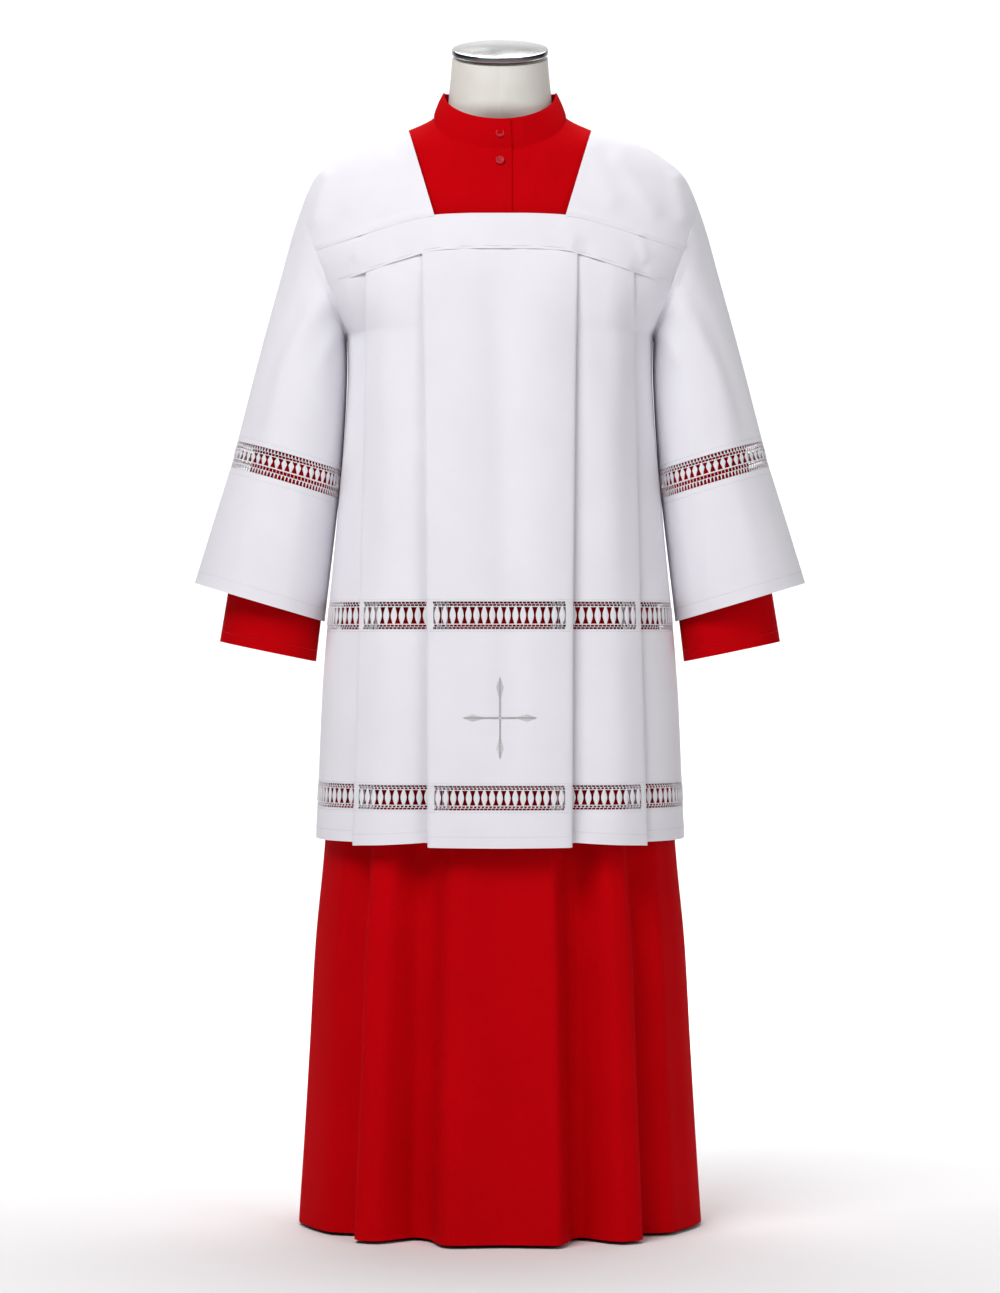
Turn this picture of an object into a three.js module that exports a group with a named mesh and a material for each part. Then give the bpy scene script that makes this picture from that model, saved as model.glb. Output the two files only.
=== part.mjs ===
// An altar server's robe on a limbless display form: a red cassock with a stand collar, and over it a white
// surplice with a square yoke, box pleats, ladder-lace insertions and bell sleeves.
// Millimetres, +Z up. The front faces -Y and the wearer's left is +X. The origin is on the floor, under the
// pole. Every piece of cloth is a thin wall, placed by level-by-level tables of the garment's outer face.
import * as THREE from "three";

const { Vector2, Vector3 } = THREE;

// ---------- driving dimensions ----------
const HEM_CLEARANCE = 4; // cassock hem above the floor
const WAIST = 820; // hidden seam of the cassock's front
const SEAM = 0.3; // gap between two pieces at a seam
const SLEEVE_SEAM = 0.45; // the same measured down a sleeve's middle, as its rings slant
const BULGE = 2.4; // exponent of every superelliptic level: 2 is an ellipse, more is boxier

const CASSOCK_CLOTH = 1.4; // wall thickness
const SURPLICE_CLOTH = 1.0;
const LAP = 13; // the cassock's front edge passes the centre by this much
const LAP_CLEAR = 15; // and the under front comes up to the surface beyond this
const LAP_DROP = CASSOCK_CLOTH + 0.5; // how far the under front lies behind the upper one

const LEAN = { from: 1150, to: 1262, forward: 16 }; // the neck stands forward of the trunk

// Half widths and half depths of the outer faces, level by level.
const SURPLICE_LEVELS = {
  side: [
    { z: 425, half: 206 }, { z: 478, half: 203.3 }, { z: 596, half: 198.2 }, { z: 674, half: 192 },
    { z: 758, half: 183.7 }, { z: 820, half: 178.6 }, { z: 876, half: 173.6 }, { z: 937, half: 170.2 },
    { z: 991, half: 171.5 },
  ],
  ridge: [
    { z: 1135, half: 222 }, { z: 1154, half: 214.5 }, { z: 1172, half: 204 }, { z: 1190.6, half: 181 },
    { z: 1204, half: 157 }, { z: 1222, half: 103 }, { z: 1234, half: 76 }, { z: 1262, half: 40 },
  ],
  depth: [
    { z: 425, half: 168 }, { z: 596, half: 158 }, { z: 758, half: 148 }, { z: 876, half: 141 },
    { z: 991, half: 135 }, { z: 1063, half: 130 }, { z: 1116, half: 118 }, { z: 1154, half: 103 },
    { z: 1190, half: 83 }, { z: 1222, half: 61 }, { z: 1262, half: 52 },
  ],
  armhole: { top: { x: 222, z: 1135 }, bottom: { x: 171.5, z: 991 }, halfDepth: 72 },
};
const CASSOCK_LEVELS = {
  side: [
    { z: 4, half: 225 }, { z: 88, half: 219.5 }, { z: 202, half: 212.8 }, { z: 315, half: 206.4 },
    { z: 418, half: 196.6 }, { z: 600, half: 184 }, { z: 820, half: 165 }, { z: 1012, half: 161 },
  ],
  ridge: [
    { z: 1172, half: 193 }, { z: 1187, half: 178 }, { z: 1201.6, half: 155 }, { z: 1219.6, half: 103 },
    { z: 1234, half: 74 }, { z: 1262, half: 62 },
  ],
  depth: [
    { z: 4, half: 195 }, { z: 88, half: 187 }, { z: 202, half: 176 }, { z: 315, half: 163 },
    { z: 418, half: 148 }, { z: 600, half: 138 }, { z: 820, half: 127 }, { z: 1012, half: 121 },
    { z: 1092, half: 116 }, { z: 1140, half: 102.5 }, { z: 1190, half: 77.5 }, { z: 1220, half: 57 },
    { z: 1262, half: 55 },
  ],
  armhole: { top: { x: 193, z: 1172 }, bottom: { x: 161, z: 1012 }, halfDepth: 62 },
};

// Sleeve rings from the armhole out: the outer and the inner edge in the XZ plane, and the half depth.
const SURPLICE_SLEEVE = [
  { s: 0, outX: 222.5, outZ: 1135, inX: 172, inZ: 991, deep: 72 },
  { s: 1, outX: 233, outZ: 1102, inX: 173.6, inZ: 974, deep: 71 },
  { s: 2, outX: 246, outZ: 1054, inX: 174.8, inZ: 948, deep: 70 },
  { s: 3, outX: 267, outZ: 977, inX: 176, inZ: 904, deep: 68.6 },
  { s: 4, outX: 293, outZ: 875, inX: 178.8, inZ: 842, deep: 67 },
  { s: 5, outX: 300.6, outZ: 844.5, inX: 181.3, inZ: 809, deep: 67 },
  { s: 6, outX: 341.5, outZ: 716, inX: 196.5, inZ: 673, deep: 68 },
];
const SLEEVE_PARTS = { sleeve: [0, 1, 2, 3, 4], lace: [4, 5], cuff: [5, 6] }; // their rings, by s
const CASSOCK_SLEEVE = [
  { s: 0, outX: 193.5, outZ: 1172, inX: 161.5, inZ: 1012, deep: 62 },
  { s: 1, outX: 204, outZ: 1150, inX: 168, inZ: 1004.5, deep: 61 },
  { s: 2, outX: 216, outZ: 1118, inX: 176, inZ: 994, deep: 60 },
  { s: 3, outX: 228, outZ: 1075, inX: 178, inZ: 976, deep: 59 },
  { s: 4, outX: 243, outZ: 1015, inX: 178.5, inZ: 945, deep: 57 },
  { s: 5, outX: 270.5, outZ: 890, inX: 181.5, inZ: 862, deep: 53 },
  { s: 6, outX: 292, outZ: 780, inX: 190.5, inZ: 762, deep: 50 },
  { s: 7, outX: 313.6, outZ: 650.7, inX: 205.9, inZ: 628.3, deep: 48 },
];

// Surplice yoke: two seams that run level over the chest and drop towards the armholes.
const YOKE = { front: 1117, back: 1158, band: 38, neckAtRidge: 103 };
const YOKE_DROP = { front: 34.6, back: 55 };
const SEAM_FALL = [
  // share of the way from the centre to the armhole, and share of the drop
  { share: 0, fall: 0 }, { share: 0.175, fall: 0 }, { share: 0.35, fall: 0.04 }, { share: 0.448, fall: 0.13 },
  { share: 0.606, fall: 0.4 }, { share: 0.779, fall: 0.7 }, { share: 0.887, fall: 0.86 },
  { share: 1, fall: 1 },
];
const NECK_CORNER = 0.35; // the share at which the square neckline turns up

// Pleats: each fold edge's distance from the centre, how far the cloth runs back under it, and the spacing of
// the layers.
const PLEATS = [
  { z: 1076, edge1: 84.8, under1: 22, pitch1: 2.2, edge2: 147, under2: 18, pitch2: 2.2 },
  { z: 694, edge1: 80, under1: 22, pitch1: 3.8, edge2: 155, under2: 18, pitch2: 3 },
  { z: 425, edge1: 78.7, under1: 22, pitch1: 6, edge2: 162.5, under2: 18, pitch2: 4.5 },
];

// Heights of the surplice's horizontal pieces.
const LACE_UPPER = { top: 694, bottom: 663.4 };
const LACE_LOWER = { top: 495.2, bottom: 468.3 };
const SURPLICE_HEM = 427.6;

// Ladder lace: upright gaps between bars, the gap's top and bottom as shares of the band's height.
const LADDER = { pitch: 8.4, gap: 4.3, top: 0.21, bottom: 0.79 };
const SLEEVE_LADDER = { gaps: 16, gap: 0.54 }; // a half round, and a gap as a share of its pitch

// The cassock skirt's folds: degrees from the front (or back) centre, and their share of the fold depth.
const FOLD_DEPTH = [
  { z: 4, deep: 52 }, { z: 202, deep: 43 }, { z: 418, deep: 31 }, { z: 600, deep: 14 }, { z: 820, deep: 0 },
];
const FRONT_FOLDS = [
  { turn: -90, deep: 0 }, { turn: -64, deep: 0.35 }, { turn: -50, deep: 0.75 }, { turn: -41, deep: 0.08 },
  { turn: -34, deep: 0.15 }, { turn: -25, deep: 1 }, { turn: -19, deep: 0.85 }, { turn: -12, deep: 0.05 },
  { turn: 0, deep: 0.2 }, { turn: 9, deep: 0.06 }, { turn: 14, deep: 0 }, { turn: 18, deep: 0.8 },
  { turn: 23, deep: 1 }, { turn: 33, deep: 0.12 }, { turn: 40, deep: 0.08 }, { turn: 50, deep: 0.8 },
  { turn: 64, deep: 0.3 }, { turn: 90, deep: 0 },
];
const BACK_FOLDS = [
  { turn: -90, deep: 0 }, { turn: -70, deep: 0.6 }, { turn: -57, deep: 0.1 }, { turn: -46, deep: 0.85 },
  { turn: -35, deep: 0.05 }, { turn: -20, deep: 1 }, { turn: -8, deep: 0.05 }, { turn: 3, deep: 0.3 },
  { turn: 12, deep: 0.05 }, { turn: 22, deep: 0.95 }, { turn: 35, deep: 0.1 }, { turn: 46, deep: 0.9 },
  { turn: 57, deep: 0.05 }, { turn: 70, deep: 0.5 }, { turn: 90, deep: 0 },
];

// Cassock neckline, seen from the front: half width and the heights at the side, the front and the nape.
const NECKLINE = { half: 74, side: 1234, front: 1193, nape: 1247 };
const COLLAR_TOP = { half: 62.8, centreY: -22, halfDepth: 61, side: 1262, front: 1225, nape: 1275 };

// The display form: a padded trunk and neck with a metal cap, on a pole and a round foot.
const TRUNK = [
  { z: 640, half: 150, deep: 112, y: 0, tilt: 0 }, { z: 780, half: 141, deep: 104, y: 0, tilt: 0 },
  { z: 860, half: 138, deep: 104, y: 0, tilt: 0 }, { z: 1000, half: 149, deep: 112, y: 0, tilt: 0 },
  { z: 1060, half: 164, deep: 109, y: 0, tilt: 0 }, { z: 1110, half: 175, deep: 101, y: 0, tilt: 0 },
  { z: 1150, half: 179, deep: 88, y: 0, tilt: 0 }, { z: 1172, half: 176, deep: 76, y: -2, tilt: 0 },
  { z: 1186, half: 169, deep: 66, y: -5, tilt: 0 }, { z: 1198, half: 149, deep: 57, y: -7, tilt: 0 },
  { z: 1209, half: 120, deep: 50, y: -9, tilt: 0 }, { z: 1218, half: 90, deep: 46, y: -11, tilt: 0 },
  { z: 1226, half: 69, deep: 48, y: -15, tilt: 1 }, { z: 1236, half: 61, deep: 50, y: -19, tilt: 3 },
  { z: 1248, half: 57.8, deep: 52, y: -22, tilt: 6 }, { z: 1262, half: 56.6, deep: 53, y: -24, tilt: 10 },
  { z: 1284, half: 54.4, deep: 53.2, y: -29, tilt: 16 },
  { z: 1303, half: 52.8, deep: 52.8, y: -33.5, tilt: 20 },
];
const CAP = { radius: 53.6, height: 6, crown: 2 };
const POLE = { radius: 12.5, foot: 26.3 };
const FOOT = { radius: 135, edge: 8, hub: 24, height: 26 };

const BUTTON = { radius: 4.9, thick: 2.4, dish: 0.8, lip: 1.1 };
const BUTTON_HEIGHTS = { collar: 1209, chest: 1178 };

// ---------- small maths ----------
const lerp = THREE.MathUtils.lerp;
const clamp = THREE.MathUtils.clamp;
const ease = (t) => THREE.MathUtils.smoothstep(t, 0, 1);
const power = (v, p) => Math.sign(v) * Math.abs(v) ** p;
const column = (table, name) => table.map((row) => row[name]);

// The rows either side of t, and how far t lies between them.
function bracket(keys, t) {
  const rising = keys[0] < keys.at(-1);
  const passed = keys.findIndex((k) => (rising ? k > t : k < t));
  const i = passed < 0 ? keys.length - 2 : Math.max(passed - 1, 0);
  return { i, f: clamp((t - keys[i]) / (keys[i + 1] - keys[i]), 0, 1) };
}
// A straight-line reading of a table's column.
function line(table, key, name) {
  const keys = column(table, key);
  const values = column(table, name);
  return (t) => {
    const { i, f } = bracket(keys, t);
    return lerp(values[i], values[i + 1], f);
  };
}
// A smooth reading of a table's column: cubic pieces that share their slopes.
function curve(table, key, name) {
  const keys = column(table, key);
  const values = column(table, name);
  const last = keys.length - 1;
  const slope = keys.map((k, i) => {
    const [a, b] = [Math.max(i - 1, 0), Math.min(i + 1, last)];
    return (values[b] - values[a]) / (keys[b] - keys[a]);
  });
  return (t) => {
    const { i, f } = bracket(keys, t);
    const step = keys[i + 1] - keys[i];
    const [f2, f3] = [f * f, f * f * f];
    return (
      (2 * f3 - 3 * f2 + 1) * values[i] + (f3 - 2 * f2 + f) * step * slope[i] +
      (3 * f2 - 2 * f3) * values[i + 1] + (f3 - f2) * step * slope[i + 1]
    );
  };
}

// ---------- a garment's trunk ----------
// Each level is a superellipse |x/halfWidth|^n + |y/halfDepth|^n = 1. Between the underarm and the shoulder
// point the half width is the one that makes the surface pass through the armhole's ring.
function lean(z) {
  return -LEAN.forward * ease((z - LEAN.from) / (LEAN.to - LEAN.from));
}
function trunk({ side, ridge, depth, armhole }) {
  const sideAt = curve(side, "z", "half");
  const ridgeAt = curve(ridge, "z", "half");
  const halfDepth = curve(depth, "z", "half");
  const { top, bottom } = armhole;
  const middle = { x: (top.x + bottom.x) / 2, z: (top.z + bottom.z) / 2 };
  // x and the depth of the armhole ring's front half at height z
  const arm = (z) => {
    const c = clamp((z - middle.z) / (top.z - middle.z), -1, 1);
    return { x: middle.x + (top.x - middle.x) * c, y: armhole.halfDepth * Math.sqrt(1 - c * c) };
  };
  const halfWidth = (z) => {
    if (z <= bottom.z) return sideAt(z);
    if (z >= top.z) return ridgeAt(z);
    const ring = arm(z);
    return ring.x / (1 - (ring.y / halfDepth(z)) ** BULGE) ** (1 / BULGE);
  };
  // distance of the surface from the level's middle line at x
  const reach = (x, z) => {
    const left = 1 - (Math.abs(x) / halfWidth(z)) ** BULGE;
    return left <= 1e-6 ? 0 : halfDepth(z) * left ** (1 / BULGE);
  };
  const shape = (x, y, z) =>
    (Math.abs(x) / halfWidth(z)) ** BULGE + (Math.abs(y - lean(z)) / halfDepth(z)) ** BULGE;
  const normal = (p) => {
    const h = 0.4;
    const slope = (dx, dy, dz) =>
      shape(p.x + dx, p.y + dy, p.z + dz) - shape(p.x - dx, p.y - dy, p.z - dz);
    return new Vector3(slope(h, 0, 0), slope(0, h, 0), slope(0, 0, h)).normalize();
  };
  const ridgeHeight = (x) => {
    let [low, high] = [top.z, ridge.at(-1).z];
    for (let i = 0; i < 40; i++) {
      const mid = (low + high) / 2;
      if (ridgeAt(mid) > Math.abs(x)) low = mid;
      else high = mid;
    }
    return low;
  };
  const turnOf = (x, z) => Math.asin(clamp(Math.abs(x) / halfWidth(z), 0, 1) ** (BULGE / 2));
  // a point of the level by its turn from the front centre, and the way out of the surface there
  const level = (turn, z) => {
    const [a, b] = [halfWidth(z), halfDepth(z)];
    const x = a * power(Math.sin(turn), 2 / BULGE);
    const y = -b * power(Math.cos(turn), 2 / BULGE);
    const out = new Vector2(power(x / a, BULGE - 1) / a, power(y / b, BULGE - 1) / b).normalize();
    return { x, y: y + lean(z), out };
  };
  return { reach, normal, ridgeHeight, arm, turnOf, level };
}
const surplice = trunk(SURPLICE_LEVELS);
const cassock = trunk(CASSOCK_LEVELS);

// A point on a trunk's front (face -1) or back (face 1), moved in by drop.
function onTrunk(body, x, z, face, drop = 0) {
  const p = new Vector3(x, lean(z) + face * body.reach(x, z), z);
  return p.addScaledVector(body.normal(p), -drop);
}

// ---------- cloth ----------
const dye = (colour, roughness, metalness = 0) =>
  new THREE.MeshStandardMaterial({ color: colour, roughness, metalness });
const RED = dye(0xc4000c, 0.75);
const WHITE = dye(0xeeeef2, 0.8);
const LACE_WHITE = dye(0xf4f2f0, 0.85);
const BUTTON_RED = dye(0xc01018, 0.35);
const FORM_COVER = dye(0xdedad2, 0.6);
const STEEL = dye(0xb8b8ba, 0.2, 1);
const DARK_STEEL = dye(0x55565a, 0.45, 1);

const robe = new THREE.Group();

function add(name, geometry, material) {
  const mesh = new THREE.Mesh(geometry, material);
  mesh.name = name;
  robe.add(mesh);
  return mesh;
}

// The triangles of a four-sided cell with a row of upright gaps in it. A gap has its left and its right side,
// each a top and a bottom point.
function perforate([topLeft, bottomLeft, bottomRight, topRight], cuts) {
  const triangles = [];
  const fan = (hub, rest) => rest.slice(1).forEach((p, k) => triangles.push([hub, rest[k], p]));
  const lefts = [...cuts.map(({ left }) => left), [topRight, bottomRight]];
  const rights = [[topLeft, bottomLeft], ...cuts.map(({ right }) => right)];
  lefts.forEach((left, k) => fan(rights[k][0], [rights[k][1], left[1], left[0]]));
  if (!cuts.length) return triangles;
  const tops = cuts.flatMap(({ left, right }) => [left[0], right[0]]);
  const bottoms = cuts.flatMap(({ left, right }) => [left[1], right[1]]).reverse();
  const half = cuts.length;
  fan(topLeft, [...tops.slice(0, half), topRight]);
  fan(topRight, tops.slice(half - 1));
  fan(bottomRight, [...bottoms.slice(0, half), bottomLeft]);
  fan(bottomLeft, bottoms.slice(half - 1));
  return triangles;
}

// One piece of cloth as a closed wall. Its pattern is columns x rows of cells, with s across to the right and
// h down, seen from outside. place(s, h) gives the outer and the inner point, and gaps(i) what is cut through
// column i.
function cloth(name, material, { columns, rows, closed = false, place, gaps = () => [] }) {
  const points = [];
  const faces = [];
  const known = new Map();
  const vertex = ([s, h], side) => {
    const turn = closed && s === columns ? 0 : s;
    const key = `${side} ${turn.toFixed(5)} ${h.toFixed(5)}`;
    if (!known.has(key)) {
      known.set(key, points.length / 3);
      points.push(...place(turn, h)[side].toArray());
    }
    return known.get(key);
  };
  const diagonal = (a, b) => {
    const ends = [a, b].map((p) => new Vector3().fromArray(points, 3 * vertex(p, "outer")));
    return ends[0].distanceTo(ends[1]);
  };
  const patch = (a, b, c) => {
    faces.push(vertex(a, "outer"), vertex(b, "outer"), vertex(c, "outer"));
    faces.push(vertex(c, "inner"), vertex(b, "inner"), vertex(a, "inner"));
  };
  const edge = (a, b) => {
    faces.push(vertex(b, "outer"), vertex(a, "outer"), vertex(a, "inner"));
    faces.push(vertex(b, "outer"), vertex(a, "inner"), vertex(b, "inner"));
  };
  for (let i = 0; i < columns; i++) {
    for (let j = 0; j < rows; j++) {
      const cell = [[i, j], [i, j + 1], [i + 1, j + 1], [i + 1, j]];
      const cuts = gaps(i);
      // a plain cell is split along its shorter diagonal, so that both halves of the garment match
      const [a, b, c, d] = cell;
      const turned = !cuts.length && diagonal(b, d) < diagonal(a, c) - 0.01;
      const triangles = turned ? [[b, c, d], [b, d, a]] : perforate(cell, cuts);
      triangles.forEach((t) => patch(...t));
      for (const { left, right } of cuts) {
        const loop = [...left, ...right.toReversed()];
        loop.forEach((p, k) => edge(loop[(k + 1) % loop.length], p));
      }
    }
    edge([i + 1, 0], [i, 0]);
    edge([i, rows], [i + 1, rows]);
  }
  if (!closed) {
    for (let j = 0; j < rows; j++) {
      edge([0, j], [0, j + 1]);
      edge([columns, j + 1], [columns, j]);
    }
  }
  const geometry = new THREE.BufferGeometry();
  geometry.setAttribute("position", new THREE.Float32BufferAttribute(points, 3));
  geometry.setIndex(faces);
  geometry.computeVertexNormals();
  return add(name, geometry, material);
}

// Both faces of a wall whose outer face passes through p and looks along n.
const wall = (p, n, thick) => ({ outer: p, inner: p.clone().addScaledVector(n, -thick) });
const trunkWall = (body, p, thick) => wall(p, body.normal(p), thick);

// ---------- surplice: yoke and shoulders ----------
const fallAt = line(SEAM_FALL, "share", "fall");
const shares = column(SEAM_FALL, "share");
// The height of a yoke seam at a share of the way to the armhole, and the seam's own half length.
function yokeSeam(side, below) {
  const centre = YOKE[side] - below;
  const end = centre - YOKE_DROP[side];
  const height = (share) => centre - YOKE_DROP[side] * fallAt(Math.abs(share));
  return { half: surplice.arm(end).x, height };
}
function makeYoke(side, face) {
  const top = yokeSeam(side, 0);
  const bottom = yokeSeam(side, YOKE.band);
  const across = [...shares.slice(1).map((s) => -s).reverse(), ...shares];
  const place = (s, h) => {
    const share = -face * across[s];
    const x = share * lerp(top.half, bottom.half, h) * (1 - (SEAM / 2 / bottom.half));
    const gap = lerp(-SEAM / 2, SEAM, h);
    const z = lerp(top.height(share), bottom.height(share), h) + gap;
    const p = onTrunk(surplice, x, z, face);
    const n = surplice.normal(p);
    if (h) n.setZ(0).normalize(); // the lower edge is level with the skirt's
    return wall(p, n, SURPLICE_CLOTH);
  };
  cloth(`surplice_yoke_${side}`, WHITE, { columns: across.length - 1, rows: 1, place });
}
// A shoulder piece runs from the front yoke seam over the ridge to the back one, from neckline to armhole.
function makeShoulder(name, hand) {
  const across = shares.filter((s) => s >= NECK_CORNER);
  const steps = [1, 0.72, 0.5, 0.32, 0.16, 0, 0.16, 0.32, 0.5, 0.72, 1];
  const middle = (steps.length - 1) / 2;
  const place = (s, h) => {
    const share = across[hand > 0 ? s : across.length - 1 - s];
    const outward = (share - NECK_CORNER) / (1 - NECK_CORNER);
    const face = h > middle ? -1 : 1;
    const seam = yokeSeam(face < 0 ? "front" : "back", 0);
    const t = steps[h];
    const ridgeX = lerp(YOKE.neckAtRidge, SURPLICE_LEVELS.armhole.top.x, outward);
    const ridgeZ = surplice.ridgeHeight(ridgeX);
    const seamZ = seam.height(share) + SEAM / 2;
    const z = lerp(ridgeZ, seamZ, t * t);
    const fallen = (ridgeZ - z) / (ridgeZ - seamZ);
    const neckX = lerp(YOKE.neckAtRidge, NECK_CORNER * seam.half, fallen);
    const armX = surplice.arm(z).x;
    const x = lerp(neckX, t ? armX : SURPLICE_LEVELS.armhole.top.x, outward) - outward * SEAM / 2;
    const p = onTrunk(surplice, hand * (t ? x : ridgeX), z, face);
    return trunkWall(surplice, p, SURPLICE_CLOTH);
  };
  cloth(name, WHITE, { columns: across.length - 1, rows: steps.length - 1, place });
}

// ---------- surplice: pleated skirt ----------
const pleat = Object.fromEntries(
  Object.keys(PLEATS[0]).slice(1).map((name) => [name, curve(PLEATS, "z", name)]),
);
// Stations of the cloth from the centre to the side at one level: x from the centre (or share of the last
// panel) and the depth behind the outer face. The cloth folds back under each pleat edge and comes out again.
function stations(z) {
  const fold = (edge, under, pitch) => [
    { x: edge, deep: 0 }, { x: edge, deep: pitch },
    { x: edge - under, deep: pitch }, { x: edge - under, deep: 2 * pitch }, { x: edge + 2, deep: 2 * pitch },
  ];
  const [edge1, edge2] = [pleat.edge1(z), pleat.edge2(z)];
  const [pitch1, pitch2] = [pleat.pitch1(z), pleat.pitch2(z)];
  return [
    { x: 0, deep: 0 }, { x: 0.5 * edge1, deep: 0 },
    ...fold(edge1, pleat.under1(z), pitch1),
    { x: lerp(edge1, edge2, 0.27), deep: pitch1 }, { x: lerp(edge1, edge2, 0.6), deep: 0 },
    ...fold(edge2, pleat.under2(z), pitch2),
    { x: edge2 + 10, deep: 1.1 * pitch2 }, { share: 0.5, deep: 0.2 * pitch2 }, { share: 1, deep: 0 },
  ];
}
const STATIONS = stations(SURPLICE_HEM).length - 1;
const FLAT_ZONES = [[0, 2], [6, 9], [13, STATIONS]]; // the stations between the folds
const PLEAT_END = 1.5; // the plain strip left beside a fold

// The plan point of station q (any share of a step) at height z, on the right of the front.
function planPoint(q, z) {
  const rows = stations(z);
  const end = z > SURPLICE_LEVELS.armhole.bottom.z ? surplice.turnOf(surplice.arm(z).x, z) : Math.PI / 2;
  const edge = surplice.turnOf(pleat.edge2(z), z);
  const turn = (row) => ("share" in row ? lerp(edge, end, row.share) : surplice.turnOf(row.x, z));
  const i = Math.min(Math.floor(q), STATIONS - 1);
  const f = q - i;
  const at = surplice.level(lerp(turn(rows[i]), turn(rows[i + 1]), f), z);
  const deep = lerp(rows[i].deep, rows[i + 1].deep, f) + SURPLICE_CLOTH / 2;
  return new Vector2(at.x, at.y).addScaledVector(at.out, -deep);
}
// The middle of the skirt's cloth at s from the left side seam, and the two faces either side of it.
function skirtWall(s, z, face) {
  const middle = (t) => {
    const p = planPoint(Math.min(Math.abs(t - STATIONS), STATIONS), z);
    return new Vector2(Math.sign(t - STATIONS) * p.x, p.y);
  };
  const step = Number.isInteger(s) ? 1 : 0.02;
  const last = 2 * STATIONS;
  const here = middle(s);
  const before = s - step < 0 ? here.clone().multiplyScalar(2).sub(middle(s + step)) : middle(s - step);
  const after = s + step > last ? here.clone().multiplyScalar(2).sub(middle(s - step)) : middle(s + step);
  const along = [here.clone().sub(before).normalize(), after.clone().sub(here).normalize()];
  const out = along.map((d) => new Vector2(d.y, -d.x));
  const mitre = out[0].clone().add(out[1]).normalize();
  const half = SURPLICE_CLOTH / 2 / Math.max(mitre.dot(out[0]), 0.5);
  // the side edges stop short of the seam
  const inward = s === 0 ? along[1] : s === last ? along[0].clone().negate() : new Vector2();
  const point = (k) => {
    const p = here.clone().addScaledVector(mitre, k * half).addScaledVector(inward, SEAM / 2);
    return new Vector3(-face * p.x, -face * p.y, z);
  };
  return { outer: point(1), inner: point(-1) };
}
// A pleated piece. Its rows are heights, or functions of s that give one.
function makeSkirtPiece(name, material, face, levels, gaps) {
  const heightAt = (level, s) => (typeof level === "function" ? level(s) : level);
  const place = (s, h) => {
    const i = Math.min(Math.floor(h), levels.length - 2);
    return skirtWall(s, lerp(heightAt(levels[i], s), heightAt(levels[i + 1], s), h - i), face);
  };
  cloth(name, material, { columns: 2 * STATIONS, rows: levels.length - 1, place, gaps });
}
// The skirt's top edge follows the yoke's lower seam.
function skirtTop(side) {
  const seam = yokeSeam(side, YOKE.band);
  return (s) => {
    const q = Math.abs(s - STATIONS);
    const x = planPoint(Math.min(q, STATIONS), seam.height(0.7)).x;
    return seam.height(q === STATIONS ? 1 : clamp(x / seam.half, 0, 1)) - 1.5 * SEAM;
  };
}

// ---------- ladder lace ----------
// One gap centred on s, as wide as half says to each side.
function ladderGap(s, half) {
  const side = (x) => [[x, LADDER.top], [x, LADDER.bottom]];
  return { left: side(s - half), right: side(s + half) };
}
// The gaps of one body band: evenly spaced by length over each flat stretch between folds.
function ladderGaps(z) {
  const found = new Map();
  const put = (s, perMm) => {
    const i = Math.floor(s);
    found.set(i, [...(found.get(i) ?? []), ladderGap(s, LADDER.gap / 2 / perMm)]);
  };
  for (const [from, to] of FLAT_ZONES) {
    for (let q = from; q < to; q++) {
      const long = planPoint(q, z).distanceTo(planPoint(q + 1, z));
      const count = Math.floor((long - PLEAT_END) / LADDER.pitch);
      for (let k = 0; k < count; k++) {
        const share = (k + 0.5) / count;
        put(STATIONS + q + share, long);
        put(STATIONS - q - share, long);
      }
    }
  }
  return (i) => (found.get(i) ?? []).toSorted((a, b) => a.left[0][0] - b.left[0][0]);
}

// ---------- sleeves ----------
// A ring of a sleeve at s: its middle, its half span from inner to outer edge, and its half depth.
function sleeve(table) {
  const names = Object.keys(table[0]).slice(1);
  const read = Object.fromEntries(names.map((k) => [k, curve(table, "s", k)]));
  return (s) => {
    const outerEdge = new Vector3(read.outX(s), 0, read.outZ(s));
    const innerEdge = new Vector3(read.inX(s), 0, read.inZ(s));
    return {
      centre: outerEdge.clone().add(innerEdge).multiplyScalar(0.5),
      span: outerEdge.clone().sub(innerEdge).multiplyScalar(0.5),
      deep: read.deep(s),
    };
  };
}
const surpliceSleeve = sleeve(SURPLICE_SLEEVE);
const cassockSleeve = sleeve(CASSOCK_SLEEVE);
// Both faces at s along and turn round a sleeve: turn 0 is the outer edge and a quarter turn is the front.
function sleeveWall(ringAt, s, turn, thick, hand) {
  const point = (along, round) => {
    const { centre, span, deep } = ringAt(along);
    const p = centre.clone().addScaledVector(span, Math.cos(round));
    return p.setY(-deep * Math.sin(round));
  };
  const p = point(s, turn);
  const around = point(s, turn + 0.02).sub(point(s, turn - 0.02));
  const along = point(s + 0.05, turn).sub(point(Math.max(s - 0.05, 0), turn));
  const ring = ringAt(s);
  const n = s === 0 ? p.clone().sub(ring.centre).normalize() : around.cross(along).normalize();
  const { outer, inner } = wall(p, n, thick);
  [outer, inner].forEach((q) => q.setX(hand * q.x));
  return { outer, inner };
}
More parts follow.
